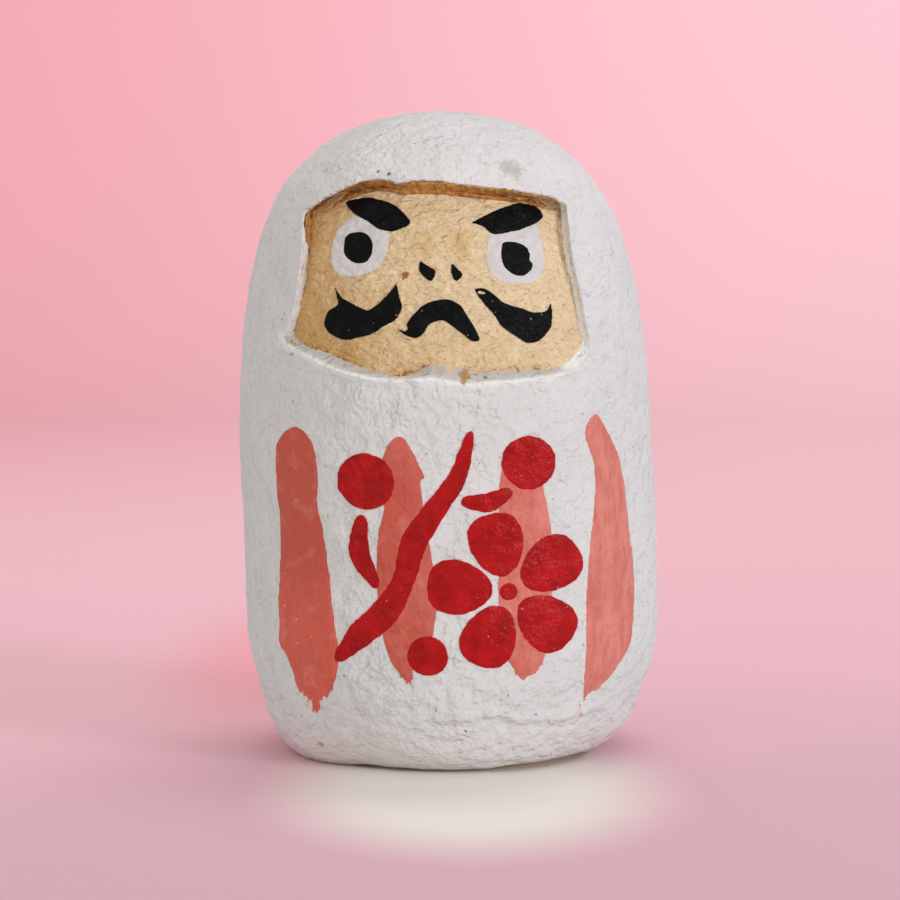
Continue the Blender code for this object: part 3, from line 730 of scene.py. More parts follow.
def kept(points, faces, field, least=0.03):
    """The part of a mesh where the field is positive, cut along its zero line.
    Points may have more columns than their places."""
    field = np.where(np.abs(field) < least, least, field)
    edges, index = edges_of(faces)
    start, end = field[edges[:, 0]], field[edges[:, 1]]
    crossed = (start > 0) != (end > 0)
    share = (start / np.where(crossed, start - end, 1.0))[crossed, None]
    new = points[edges[crossed, 0]] * (1.0 - share) + points[edges[crossed, 1]] * share
    number = np.full(len(edges), -1)
    number[crossed] = len(points) + np.arange(crossed.sum())
    points = np.concatenate((points, new))
    middles = number[index]
    inside = field[faces] > 0
    count = inside.sum(axis=1)
    turn = np.where(count == 1, inside.argmax(axis=1), (~inside).argmax(axis=1))
    order = (turn[:, None] + np.arange(3)) % 3
    a, b, c = np.take_along_axis(faces, order, axis=1).T
    ab, _, ca = np.take_along_axis(middles, order, axis=1).T
    one, two = count == 1, count == 2
    faces = np.concatenate((
        faces[count == 3], np.column_stack((a, ab, ca))[one],
        np.column_stack((ab, b, c))[two], np.column_stack((ab, c, ca))[two],
    ))
    used, faces = np.unique(faces, return_inverse=True)
    return points[used], faces.reshape(-1, 3)


def drawn_patch(field, low, high, step):
    """The part of the drawing where a field is positive, meshed, with the field as third column."""
    across = np.arange(low[0] - step, high[0] + 2.0 * step, step)
    up = np.arange(low[1] - step, high[1] + 2.0 * step, step * 0.87)
    grid = np.stack(np.meshgrid(across, up), axis=2)
    grid[1::2, :, 0] += 0.5 * step
    rows, columns = grid.shape[:2]
    row, column = np.divmod(np.arange((rows - 1) * (columns - 1)), columns - 1)
    first = row * columns + column
    odd = row % 2 == 1
    near, far = first, first + columns
    lower = np.column_stack((near, near + 1, np.where(odd, far + 1, far)))
    upper = np.column_stack((np.where(odd, near, near + 1), far + 1, far))
    drawn = grid.reshape(-1, 2)
    values = field(drawn)
    return kept(np.column_stack((drawn, values)), np.concatenate((lower, upper)), values)


def closed_skin(outer, inner, faces):
    """One closed body from a skin, the same skin further in, and a band along their open edges."""
    count = len(outer)
    ends = np.stack((faces, np.roll(faces, -1, axis=1)), axis=2).reshape(-1, 2)
    forward, backward = ends @ (count, 1), ends @ (1, count)
    start, end = ends[~np.isin(forward, backward)].T
    band = np.concatenate((
        np.column_stack((end, start, start + count)), np.column_stack((end, start + count, end + count)),
    ))
    return np.concatenate((outer, inner)), np.concatenate((faces, faces[:, ::-1] + count, band))


def new_piece(name, points, faces, material, slot, nodes, values=None):
    """A mesh object on the doll that stands for CAD nodes. values are named numbers for its points."""
    mesh = bpy.data.meshes.new(name)
    mesh.from_pydata(on_real_doll(points).tolist(), [], faces.tolist())
    mesh.shade_smooth()
    mesh.set_sharp_from_angle(angle=math.radians(60.0))
    for label, numbers in (values or {}).items():
        attribute = mesh.attributes.new(label, "FLOAT", "POINT")
        attribute.data.foreach_set("value", numbers.astype(np.float32))
    mesh.materials.append(material)
    piece = bpy.data.objects.new(name, mesh)
    bpy.context.scene.collection.objects.link(piece)
    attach(piece, "root")
    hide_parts(*nodes)


# Finishes


EVEN = (1.0, 1.0, 1.0)
FIBRE_STRETCH = (0.36, 1.0, 1.0)
FIBRE_SLANTS = (38.0, -35.0)  # degrees

# Tints of the coat and how bright its dust is, then of the pulp and of the paints; among them are
# painted shade and painted highlights
DUSTY = 0.88
WARM_CHALK = (0.74, 0.70, 0.67)
PIT_SHADE_GREY = (0.30, 0.27, 0.25)
LEDGE_SHADE_GREY = (0.55, 0.52, 0.49)
CREST_HIGHLIGHT_WHITE = (0.90, 0.89, 0.885)
DENT_GREY = (0.42, 0.38, 0.36)
CREVICE_SHADE_BROWN = (0.50, 0.28, 0.10)
POWDER_BROWN = (0.50, 0.28, 0.11)
FIBRE_HIGHLIGHT_PALE = (0.95, 0.80, 0.58)
STRAW = (0.84, 0.65, 0.42)
CLOUDY_STRAW = (0.84, 0.66, 0.42)
BROWN_SHADE_PULP = (0.58, 0.29, 0.065)
PAINTED_LIGHT_PULP = (0.88, 0.71, 0.50)
STAIN_OCHRE = (0.66, 0.36, 0.09)
FLAKE_RED = (0.40, 0.15, 0.06)
HUSK_BROWN = (0.30, 0.15, 0.06)
FLECK_BROWN = (0.30, 0.14, 0.05)
THIN_INK = (0.010, 0.010, 0.011)
BARE_SPECK = (0.40, 0.38, 0.34)
LEFT_SHADE_SALMON = (0.60, 0.098, 0.066)
LOW_SHADE_SALMON = (0.74, 0.125, 0.085)
STREAK_SALMON = (0.56, 0.105, 0.075)
THIN_SALMON = (0.80, 0.33, 0.27)
SPECK_SALMON = (0.85, 0.66, 0.60)
BRIGHT_RED = (0.56, 0.010, 0.014)
SPECK_RED = (0.85, 0.45, 0.42)

# Crumbs and dirt on the coat: across, up, radius, tint and strength
COAT_CRUMBS = (
    (-13.3, 36.8, 0.45, (0.50, 0.36, 0.18), 0.8), (-19.1, 4.4, 0.5, (0.52, 0.38, 0.18), 0.8),
    (19.4, 9.2, 0.45, (0.72, 0.30, 0.24), 0.8), (3.1, 61.5, 0.75, (0.42, 0.22, 0.08), 0.95),
    (2.9, 60.6, 0.5, (0.50, 0.27, 0.10), 0.95), (3.4, 62.2, 0.40, (0.50, 0.29, 0.12), 0.9),
    (6.2, 61.2, 0.2, (0.20, 0.10, 0.05), 0.95), (-23.0, 64.2, 0.25, (0.30, 0.16, 0.07), 0.8),
    (-7.6, 90.9, 0.35, (0.16, 0.12, 0.10), 0.9), (-9.2, 91.3, 0.25, (0.20, 0.15, 0.12), 0.8),
)
# A grey spot over a shallow dent on the hood, darkest in its middle
GREY_DENT = (10.7, 91.8, 1.35, 0.62)  # across, up, radius and strength
BROW_STAINS = ((-2.4, 80.4, 1.4), (2.9, 81.2, 1.5))  # across, up and radius, as in RED_FLAKE
RED_FLAKE = (-5.3, 76.0, 0.5)


class Finish:
    """A Principled material under construction. Its patterns lie in the object's own millimetres."""

    def __init__(self, name, roughness, **sockets):
        self.material = bpy.data.materials.new(name)
        self.material.use_nodes = True
        self.tree = self.material.node_tree
        self.shader = self.tree.nodes["Principled BSDF"]
        self.shader.inputs["Roughness"].default_value = roughness
        for socket, value in sockets.items():
            self.shader.inputs[socket.replace("_", " ")].default_value = value
        place = self.node("TexCoord").outputs["Object"]
        self.place = self.node("VectorMath", (place, (1.0 / MM,) * 3), operation="MULTIPLY").outputs[0]
        self.colour = None
        self.bump = None

    def node(self, kind, inputs=(), **settings):
        node = self.tree.nodes.new("ShaderNode" + kind)
        for setting, value in settings.items():
            setattr(node, setting, value)
        pairs = inputs.items() if isinstance(inputs, dict) else enumerate(inputs)
        for socket, value in pairs:
            if isinstance(value, bpy.types.NodeSocket):
                self.tree.links.new(value, node.inputs[socket])
            elif value is not None:
                node.inputs[socket].default_value = value
        return node

    def turned(self, degrees):
        """The place turned over the front, for patterns that run slantwise."""
        inputs = {"Vector": self.place, "Angle": math.radians(degrees)}
        return self.node("VectorRotate", inputs, rotation_type="Y_AXIS").outputs[0]

    def shaken(self, size, reach):
        """The place moved about at random by up to `reach` millimetres."""
        inputs = {"Vector": self.place, "Scale": 1.0 / size, "Detail": 2.0}
        moves = self.node("TexNoise", inputs).outputs["Color"]
        inputs = (moves, (2.0 * reach,) * 3, self.place)
        return self.node("VectorMath", inputs, operation="MULTIPLY_ADD").outputs[0]

    def stretched(self, stretch, place=None):
        inputs = (place or self.place, stretch)
        return self.node("VectorMath", inputs, operation="MULTIPLY").outputs[0]

    def grain(self, size, detail=2.0, roughness=0.5, stretch=EVEN, distortion=0.0, place=None):
        """Soft random values round 0.5, with lumps about `size` millimetres across."""
        return self.node("TexNoise", {
            "Vector": self.stretched(stretch, place), "Scale": 1.0 / size, "Detail": detail,
            "Roughness": roughness, "Distortion": distortion,
        }).outputs["Fac"]

    def cells(self, size, output="Distance", stretch=EVEN, place=None):
        """Distances from random points about `size` apart, or one random colour round each."""
        inputs = {"Vector": self.stretched(stretch, place), "Scale": 1.0 / size}
        return self.node("TexVoronoi", inputs).outputs[output]

    def creases(self, size, width, stretch, place):
        """0 along thin wandering lines and 1 away from them."""
        off = self.joined("SUBTRACT", self.grain(size, 2.0, 0.5, stretch, 0.4, place), 0.5)
        return self.within(self.joined("ABSOLUTE", off), 0.0, width)

    def within(self, value, low, high, start=0.0, end=1.0):
        """value mapped from low...high to start...end, smoothly and without passing them."""
        inputs = {"Value": value, "From Min": low, "From Max": high, "To Min": start, "To Max": end}
        return self.node("MapRange", inputs, interpolation_type="SMOOTHSTEP").outputs[0]

    def patches(self, size, detail, low, high, start=0.0, end=1.0, roughness=0.5):
        return self.within(self.grain(size, detail, roughness), low, high, start, end)

    def specks(self, size, core, edge, strength, among=None):
        """Spots about `size` apart, full to `core` from their middles and gone at `edge`."""
        spots = self.within(self.cells(size), core, edge, strength, 0.0)
        return spots if among is None else self.product(spots, among)

    def joined(self, operation, *values):
        return self.node("Math", values, operation=operation).outputs[0]

    def product(self, first, second):
        return self.joined("MULTIPLY", first, second)

    def split(self, value):
        return self.node("SeparateXYZ", (value,)).outputs

    def named(self, label):
        """The number that the piece's mesh gives each point under this name."""
        return self.node("Attribute", attribute_name=label).outputs["Fac"]

    def distance(self, place, centre):
        inputs = (place, tuple(centre))
        return self.node("VectorMath", inputs, operation="DISTANCE").outputs["Value"]

    def round_spot(self, centre, radius, soft=0.35):
        """1 inside a ragged round spot on the doll, in real millimetres, and 0 outside it."""
        rag = self.within(self.grain(0.8, 3.0), 0.3, 0.7, 0.0, 0.9 * radius)
        ragged = self.joined("ADD", self.distance(self.place, centre), rag)
        return self.within(ragged, radius * (1.6 - soft), radius * (1.6 + soft), 1.0, 0.0)

    def mix(self, share, first, second):
        """A colour between two others, each of them three numbers or the output of a node."""
        first, second = (
            value if isinstance(value, bpy.types.NodeSocket) else (*value, 1.0)
            for value in (first, second)
        )
        inputs = {0: share, 6: first, 7: second}
        return self.node("Mix", inputs, data_type="RGBA").outputs[2]

    def start(self, share, first, second):
        self.colour = self.mix(share, first, second)

    def tint(self, share, colour):
        """Lays a colour over what is there, as thickly as share says."""
        self.colour = self.mix(share, self.colour, colour)

    def raise_by(self, height, distance, strength=1.0):
        """Adds a relief: `distance` is in millimetres."""
        inputs = {"Height": height, "Distance": distance * MM, "Strength": strength, "Normal": self.bump}
        self.bump = self.node("Bump", inputs).outputs[0]

    def roughen(self, *reliefs):
        """Adds grainy reliefs: their size, detail, height and strength."""
        for size, detail, height, strength in reliefs:
            self.raise_by(self.grain(size, detail), height, strength)

    def done(self, roughness=None):
        results = {"Base Color": self.colour, "Roughness": roughness, "Normal": self.bump}
        for socket, value in results.items():
            if value is not None:
                self.tree.links.new(value, self.shader.inputs[socket])
        return self.material


def scaled(colour, share):
    return tuple(channel * share for channel in colour)


def real_spot(across, up, skins):
    """The place, in real millimetres, of a point of the drawing on one of the doll's skins."""
    point = skins(on_front(np.array(((across, up),))))[0]
    return on_real_doll(point)[0] / MM


def chalk_finish():
    """The coat; `wall` is 1 on the walls round the face, where grey is painted in as shade, and `crest`
    on the lip's crest and the face's right wall, where white is painted in as a highlight.
    """
    finish = Finish("chalk_coat", 0.8, Specular_IOR_Level=0.35)
    white = tuple(looks().colours.chalk)
    finish.start(finish.patches(9.0, 3.0, 0.3, 0.7), scaled(white, 0.965), scaled(white, 1.02))
    finish.tint(finish.patches(0.6, 1.0, 0.3, 0.7, 0.0, 0.36), scaled(white, DUSTY))
    finish.tint(finish.patches(4.0, 4.0, 0.52, 0.75, 0.0, 0.35, roughness=0.6), WARM_CHALK)
    pits = finish.specks(2.1, 0.045, 0.11, 1.0, finish.patches(3.0, 2.0, 0.49, 0.58))
    # Grey painted in the pits, which are dents in the relief, as their shade
    finish.tint(finish.product(pits, 0.55), PIT_SHADE_GREY)
    # Grey painted on the ledge's wall under the face as shade
    finish.tint(finish.named("wall"), LEDGE_SHADE_GREY)
    # White painted on the lip's crest and on the face's right wall as a highlight
    finish.tint(finish.named("crest"), CREST_HIGHLIGHT_WHITE)
    for across, up, radius, tint, strength in COAT_CRUMBS:
        spot = finish.round_spot(real_spot(across, up, coat_skins), radius)
        finish.tint(finish.product(spot, strength), tint)
    # Grey laid over a shallow dent on the hood, darkest in its middle
    across, up, radius, strength = GREY_DENT
    grey_dent = finish.round_spot(real_spot(across, up, coat_skins), radius, 0.8)
    finish.tint(finish.product(grey_dent, strength), DENT_GREY)
    finish.raise_by(grey_dent, -0.25, 0.7)
    finish.roughen((2.6, 2.4, 1.2, 0.95))
    wrinkles = finish.creases(4.6, 0.07, (0.5, 1.0, 1.0), finish.turned(32.0))
    smooth = finish.patches(6.0, 2.0, 0.46, 0.60)
    finish.raise_by(finish.joined("MAXIMUM", wrinkles, smooth), 0.07, 0.8)
    rougher = finish.patches(6.0, 2.0, 0.38, 0.62, 0.5, 1.5)
    finish.raise_by(finish.product(finish.grain(0.7, 1.0), rougher), 0.27, 0.9)
    finish.raise_by(pits, -0.25, 0.8)
    return finish.done(finish.patches(2.0, 3.0, 0.3, 0.7, 0.72, 0.9))


def pulp_finish():
    """Bare pulp; `edge` is 1 on broken walls and `rim` near the face's edge, and `browned` and `pale`
    say how brown and how light the face is: `browned` is partly painted shade on the left and `pale` is
    painted light along the top and towards the right. Its fibres are painted browner in their crevices
    as shade and paler on their tops as highlights."""
    finish = Finish("bare_pulp", 0.88, Specular_IOR_Level=0.25)
    tan = tuple(looks().colours.pulp)
    brown = tuple(looks().colours.bare_edge)
    one, other = (
        finish.grain(0.5, 1.5, 0.5, FIBRE_STRETCH, 0.45, finish.turned(slant)) for slant in FIBRE_SLANTS
    )
    which = finish.patches(1.7, 2.0, 0.44, 0.56)
    fibres = finish.node("Mix", {0: which, 2: one, 3: other}, data_type="FLOAT").outputs[0]
    flakes_of_pulp = finish.cells(0.95, "Color", (0.8, 1.0, 1.2), finish.shaken(0.8, 0.7))
    flat = finish.split(flakes_of_pulp)[0]
    finish.start(finish.within(fibres, 0.30, 0.66), scaled(tan, 0.90), scaled(tan, 1.06))
    # Brown painted in the fibres' low crevices as shade
    finish.tint(finish.within(fibres, 0.42, 0.28, 0.0, 0.4), CREVICE_SHADE_BROWN)
    finish.tint(finish.patches(0.4, 1.0, 0.44, 0.26, 0.0, 0.3), POWDER_BROWN)
    finish.tint(finish.within(flat, 0.0, 1.0, 0.0, 0.4), STRAW)
    # Pale colour painted on the fibres' raised tops as highlights
    finish.tint(finish.within(fibres, 0.58, 0.70, 0.0, 0.6), FIBRE_HIGHLIGHT_PALE)
    finish.tint(finish.patches(3.5, 3.0, 0.35, 0.68, 0.0, 0.35), CLOUDY_STRAW)
    # Browner to the left and low down: partly the pulp's colour, partly painted shade away from the main
    # light
    finish.tint(finish.named("browned"), BROWN_SHADE_PULP)
    # Paler along the face's top edge and towards the right: painted light
    finish.tint(finish.named("pale"), PAINTED_LIGHT_PULP)
    stains = (
        finish.round_spot(real_spot(across, up, pulp_skins), radius, 0.9)
        for across, up, radius in BROW_STAINS
    )
    finish.tint(finish.product(finish.joined("ADD", *stains), 0.45), STAIN_OCHRE)
    across, up, radius = RED_FLAKE
    finish.tint(finish.round_spot(real_spot(across, up, pulp_skins), radius), FLAKE_RED)
    husks = finish.specks(1.5, 0.06, 0.16, 0.75, finish.patches(2.4, 2.0, 0.5, 0.62))
    finish.tint(husks, HUSK_BROWN)
    crumbs = finish.grain(0.9, 2.0, 0.6, (1.0, 0.5, 0.9), place=finish.shaken(0.9, 0.8))
    broken = finish.mix(finish.within(crumbs, 0.35, 0.64), scaled(brown, 0.55), scaled(brown, 1.1))
    finish.tint(finish.named("edge"), broken)
    flecks = finish.patches(0.6, 3.0, 0.50, 0.60, roughness=0.6)
    finish.tint(finish.product(finish.named("rim"), flecks), FLECK_BROWN)
    finish.raise_by(finish.grain(1.3, 2.0, 0.5, (0.8, 1.0, 1.2), 0.6), 1.0, 0.9)
    finish.raise_by(flat, 0.16, 0.9)
    finish.raise_by(fibres, 0.26, 0.8)
    finish.roughen((0.5, 1.0, 0.13, 0.8))
    return finish.done(finish.within(fibres, 0.3, 0.7, 0.82, 0.95))


def ink_finish():
    finish = Finish("black_ink", 0.42, Specular_IOR_Level=0.07)
    thin = finish.patches(2.2, 4.0, 0.48, 0.75, roughness=0.6)
    finish.start(thin, tuple(looks().colours.ink), THIN_INK)
    finish.tint(finish.specks(1.2, 0.06, 0.11, 0.85, finish.patches(1.9, 2.0, 0.54, 0.62)), BARE_SPECK)
    finish.roughen((0.9, 2.0, 0.40, 1.0), (0.42, 1.0, 0.10, 0.9))
    return finish.done(finish.patches(1.0, 3.0, 0.3, 0.7, 0.34, 0.56))


def eye_white_finish():
    finish = Finish("shell_white", 0.6, Specular_IOR_Level=0.4)
    white = tuple(looks().colours.shell_white)
    finish.start(finish.patches(1.4, 3.0, 0.3, 0.7), scaled(white, 0.95), scaled(white, 1.03))
    finish.roughen((0.9, 2.0, 0.35, 0.9))
    return finish.done()


def salmon_finish():
    """The stripes' paint: darker and redder on the left and low down, which is painted shade on the side
    away from the main light, and streaky all over.
    """
    finish = Finish("salmon_paint", 0.5, Specular_IOR_Level=0.2)
    side, _, up = finish.split(finish.place)
    patchy = finish.patches(8.0, 3.0, 0.3, 0.7, -8.0, 8.0)
    across = finish.within(finish.joined("ADD", side, patchy), -14.0, 25.0)
    # Darker salmon towards the left: painted shade
    finish.start(across, LEFT_SHADE_SALMON, tuple(looks().colours.salmon))
    # Deeper salmon low on the left: painted shade
    low_left_shade = finish.product(finish.within(up, 36.0, 24.0), finish.within(side, -8.0, -16.0))
    finish.tint(low_left_shade, LOW_SHADE_SALMON)
    streaks = finish.grain(1.6, 4.0, 0.6, (1.0, 1.0, 0.3))
    finish.tint(finish.within(streaks, 0.62, 0.36, 0.0, 0.5), STREAK_SALMON)
    finish.tint(finish.patches(3.0, 4.0, 0.5, 0.75, 0.0, 0.3, roughness=0.6), THIN_SALMON)
    finish.tint(finish.specks(2.6, 0.035, 0.07, 0.85), SPECK_SALMON)
    finish.roughen((1.9, 2.0, 0.65, 0.9), (0.55, 1.0, 0.16, 0.9))
    return finish.done(finish.patches(1.2, 3.0, 0.3, 0.7, 0.42, 0.6))


def red_finish():
    finish = Finish("red_paint", 0.34, Specular_IOR_Level=0.10)
    red = tuple(looks().colours.red)
    pooled = finish.grain(3.2, 4.0, 0.6, (1.0, 1.0, 0.7))
    finish.start(finish.within(pooled, 0.32, 0.68), scaled(red, 0.74), scaled(red, 1.08))
    finish.tint(finish.patches(0.9, 3.0, 0.56, 0.72, 0.0, 0.5, roughness=0.7), BRIGHT_RED)
    finish.tint(finish.specks(3.0, 0.02, 0.05, 0.8), SPECK_RED)
    finish.roughen((1.8, 2.0, 0.55, 0.9), (0.5, 1.0, 0.14, 0.9))
    return finish.done(finish.patches(1.1, 3.0, 0.3, 0.7, 0.26, 0.46))


def plain_finish(name, colour, roughness, size, relief, stretch=EVEN):
    """A quiet finish for a piece inside or under the doll: mottled colour and a fine relief."""
    finish = Finish(name, roughness)
    mottled = finish.within(finish.grain(size, 4.0, 0.6, stretch), 0.3, 0.7)
    finish.start(mottled, scaled(colour, 0.8), scaled(colour, 1.15))
    finish.raise_by(finish.grain(0.4 * size, 3.0, 0.6, stretch), relief, 0.7)
    return finish.done()


# Pieces


def make_coat():
    def wanted(points):
        field = face_field(points, ROUGH_OPENING)
        outside = np.where(points[:, 1] < 2.0, FRONT_STEP, BACK_STEP)
        return np.where(field > 1.5, CUT_STEP, np.where(field > -1.9, RIM_STEP, outside))

    points, faces = fine_body(wanted)
    torn = 0.14 * unevenness(points, 1.3, 21) + 0.08 * unevenness(points, 0.5, 22)
    points, faces = kept(points, faces, -face_field(points, OPENING_LOOP) + torn)
    x, y, z = points.T
    lifted = 0.55 * ramp(x, 2.0, 12.0) * ramp(-y, -4.0, 10.0)
    foot = 0.55 + lifted + 0.22 * unevenness(points, 4.0, 23)
    points, faces = kept(points, faces, z - foot)
    _, inside_brink = sinking(points)
    ledge = ramp(68.0 - points[:, 2], 0.0, 2.0) * ramp(19.0 - points[:, 0], 0.0, 3.0)
    # A highlight painted on the face's right wall, joined to the crest's painted highlight
    right_wall_highlight = ramp(points[:, 0], 17.0, 18.5) * ramp(inside_brink, 0.1, 0.5)
    # wall: grey painted as shade on the ledge under the face
    tones = {
        "wall": np.tile(ramp(inside_brink, 0.0, 0.3) * ledge, 2),
        "crest": np.tile(np.maximum(bell(inside_brink, -0.45, 0.6) * ledge, right_wall_highlight), 2),
    }
    points, faces = closed_skin(*coat_skins(points), faces)
    new_piece("chalk_coat", points, faces, chalk_finish(), "chalk_white", ["ground_coat"], tones)


def pulp_tones(points):
    """Colour values of the pulp: how bare and broken, how browned, and how pale it is; the browning is
    partly painted shade and the paleness is painted light.
    """
    x, _, z = points.T
    floor = face_field(points, FLOOR_LOOP)
    upper = ramp(z, 78.0, 86.0)
    torn = np.maximum(ramp(z, 84.0, 86.0), ramp(z, 78.0, 81.0) * ramp(-x, 15.0, 17.0))
    broken = ramp(-floor, 0.0, 0.35) * torn
    cloud = unevenness(points, 3.0, 31)
    left = ramp(-x, 5.0, 22.0)
    rim = ramp(1.6 - floor, 0.0, 1.5)
    edge = ramp(0.75 - floor, 0.0, 0.6) * (1.0 - upper) * ramp(cloud, -0.3, 0.3)
    low = ramp(72.0 - z, 0.0, 8.0)
    # Browner to the left, low down and near the face's edge: partly painted shade on the side away from
    # the main light
    browned = 0.62 * left + 0.2 * low + 0.26 * rim * (1.0 - upper) * (0.6 + cloud) + 0.22 * cloud
    # Paler along the face's top edge, where the hood shades it, and towards the right: painted light
    pale = 0.6 * rim * upper * ramp(x, -17.0, -12.0) + 0.36 * ramp(x, -10.0, 16.0)
    return {
        "edge": broken, "browned": np.clip(browned, 0.0, 0.75), "pale": np.clip(pale, 0.0, 1.0),
        "rim": edge,
    }


def make_shells():
    def wanted(points):
        return np.where(face_field(points, ROUGH_BRINK) > -1.1, BARE_STEP, HIDDEN_STEP)

    finish = pulp_finish()
    points, faces = fine_body(wanted)
    for name, side in (("front_shell", -1.0), ("back_shell", 1.0)):
        half, half_faces = kept(points, faces, side * points[:, 1] - 0.05)
        half, half_faces = kept(half, half_faces, np.hypot(half[:, 0], half[:, 1]) + half[:, 2] - 15.0)
        tones = {label: np.tile(values, 2) for label, values in pulp_tones(half).items()}
        skin, skin_faces = closed_skin(*pulp_skins(half), half_faces)
        new_piece("pulp_" + name, skin, skin_faces, finish, "tan_pulp", [name], tones)


def make_strip():
    points, faces = fine_body(lambda points: np.full(len(points), STRIP_STEP))
    points, faces = kept(points, faces, STRIP_HALF - np.abs(points[:, 1]))
    points, faces = kept(points, faces, points[:, 2] - STRIP_FOOT)
    normals = normals_at(points)
    thick = looks().shape.coat / MM
    outer, inner = points - normals * (thick - STRIP_THICK), points - normals * thick
    skin, faces = closed_skin(outer, inner, faces)
    finish = plain_finish("washi", (0.72, 0.68, 0.60), 0.9, 2.0, 0.06, (1.0, 1.0, 0.3))
    new_piece("washi_strip", skin, faces, finish, "washi", ["seam_strip"])


def lay_film(name, loop, field, skins, lift, finish, slot, step):
    """A film of paint where the field is positive, lying on a skin and thinning towards its edges."""
    patch, faces = drawn_patch(field, loop.min(axis=0) - MARGIN, loop.max(axis=0) + MARGIN, step)
    points = on_front(patch[:, :2])
    skin, normals = skins(points)[0], normals_at(points)
    thick = looks().shape.paint / MM
    rise = lift + thick * (0.4 + 0.6 * ramp(patch[:, 2], 0.0, 0.35))
    outer = skin + normals * rise[:, None]
    inner = skin - normals * PAINT_ROOT
    new_piece(name + "_paint", *closed_skin(outer, inner, faces), finish, slot, [name])


def wavering(drawn, size, seed):
    return unevenness(np.column_stack((drawn, np.zeros(len(drawn)))), size, seed)


def brushed(loop, seed, waver, dry_below=None):
    """The field of a brushed mark: its outline wavers, and it breaks into bristle marks low down."""
    def field(drawn):
        value = depth_inside(drawn, loop) + waver * wavering(drawn, 1.2, seed)
        if dry_below is not None:
            streaks = wavering(drawn * (1.0, 0.16), 0.42, seed + 5)
            value += (1.1 * streaks - 0.25) * ramp(dry_below - drawn[:, 1], 0.0, BRISTLES)
        for across, up, radius in DRY_SPOTS:
            away = np.hypot(drawn[:, 0] - across, 1.6 * (drawn[:, 1] - up))
            value = np.minimum(value, away - radius)
        return value
    return field


def paint_marks(loops, first_seed, waver, *film):
    """Lays one film for each named outline; first_seed is the seed of the first outline's waver."""
    for seed, (name, loop) in enumerate(loops.items(), first_seed):
        lay_film(name, loop, brushed(loop, seed, waver, STRIPE_ENDS.get(name)), *film)


def smooth_loops(outlines):
    return {name: smooth_loop(outline) for name, outline in outlines.items()}


def paint_face():
    white, ink = eye_white_finish(), ink_finish()
    loops = smooth_loops(EYE_WHITES)
    paint_marks(loops, 40, 0.08, pulp_skins, EYE_LIFT, white, "shell_white", EYE_STEP)
    loops = smooth_loops(BLACK_MARKS)
    paint_marks(loops, 50, 0.04, pulp_skins, TOP_LIFT, ink, "ink_black", INK_STEP)


def paint_stripes():
    film = (coat_skins, STRIPE_LIFT, salmon_finish(), "salmon_paint", BODY_STEP)
    paint_marks(smooth_loops(STRIPES), 70, 0.09, *film)


def paint_spray():
    loops = {name: stroke_loop(spine) for name, spine in BRANCHES.items()}
    loops |= {name: round_loop(*bud) for name, bud in BUDS.items()}
    loops |= {f"petal_{number + 1}": petal_loop(number) for number in range(PETALS)}
    loops["stamen_dot"] = round_loop(*BLOSSOM, STAMEN_RADIUS)
    paint_marks(loops, 90, 0.14, coat_skins, TOP_LIFT, red_finish(), "red_paint", BODY_STEP)


def finish_base():
    finishes = {
        "base_paper": ("kraft_paper", (0.46, 0.32, 0.18), 0.9, 1.5, 0.08),
        "base_disc": ("brown_board", (0.42, 0.30, 0.18), 0.9, 1.2, 0.10),
        "clay_weight": ("grey_clay", (0.26, 0.22, 0.18), 0.95, 1.0, 0.15),
        "weight_glue": ("amber_glue", (0.45, 0.28, 0.10), 0.3, 3.0, 0.05),
    }
    for node, recipe in finishes.items():
        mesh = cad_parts[node].data
        mesh.materials.clear()
        mesh.materials.append(plain_finish(*recipe))


# Stage


def new_light(name, place, target, size, power, colour):
    data = bpy.data.lights.new(name, "AREA")
    data.shape = "DISK"
    data.size = size
    data.energy = power
    data.color = colour
    lamp = bpy.data.objects.new(name, data)
    lamp.location = place
    lamp.visible_camera = False
    lamp.rotation_euler = (Vector(target) - Vector(place)).to_track_quat("-Z", "Y").to_euler()
    bpy.context.scene.collection.objects.link(lamp)


def backdrop_finish():
    """Pink paper, darker in the far corner, with a painted pool of light before the doll and a painted
    shadow beside it.
    """
    stage = looks().stage
    finish = Finish("backdrop_paper", 0.9, Specular_IOR_Level=0.1)
    side, back, _ = finish.split(finish.place)
    far = finish.joined("ADD", back, finish.product(side, -0.45))
    corner = finish.product(finish.within(side, 170.0, -190.0), finish.within(back, 150.0, 600.0))
    backdrop = finish.mix(corner, tuple(stage.backdrop), CORNER_TINT)
    finish.start(finish.within(far, -60.0, 60.0), tuple(stage.floor), backdrop)
    away = finish.distance(finish.stretched(GLOW_STRETCH), GLOW_MIDDLE)
    # A pool of light painted on the floor before the doll
    finish.tint(finish.within(away, 14.0, 36.0, 0.95, 0.0), GLOW_TINT)
    away = finish.distance(finish.stretched(SHADE_STRETCH), SHADE_MIDDLE)
    # A shadow painted on the floor beside the doll
    finish.tint(finish.within(away, 2.0, 30.0, 0.7, 0.0), SHADE_TINT)
    return finish.done()


def stage_piece(name, points, faces, finish):
    mesh = bpy.data.meshes.new(name)
    mesh.from_pydata(points, [], faces)
    mesh.shade_smooth()
    mesh.materials.append(finish)
    piece = bpy.data.objects.new(name, mesh)
    bpy.context.scene.collection.objects.link(piece)
    return piece


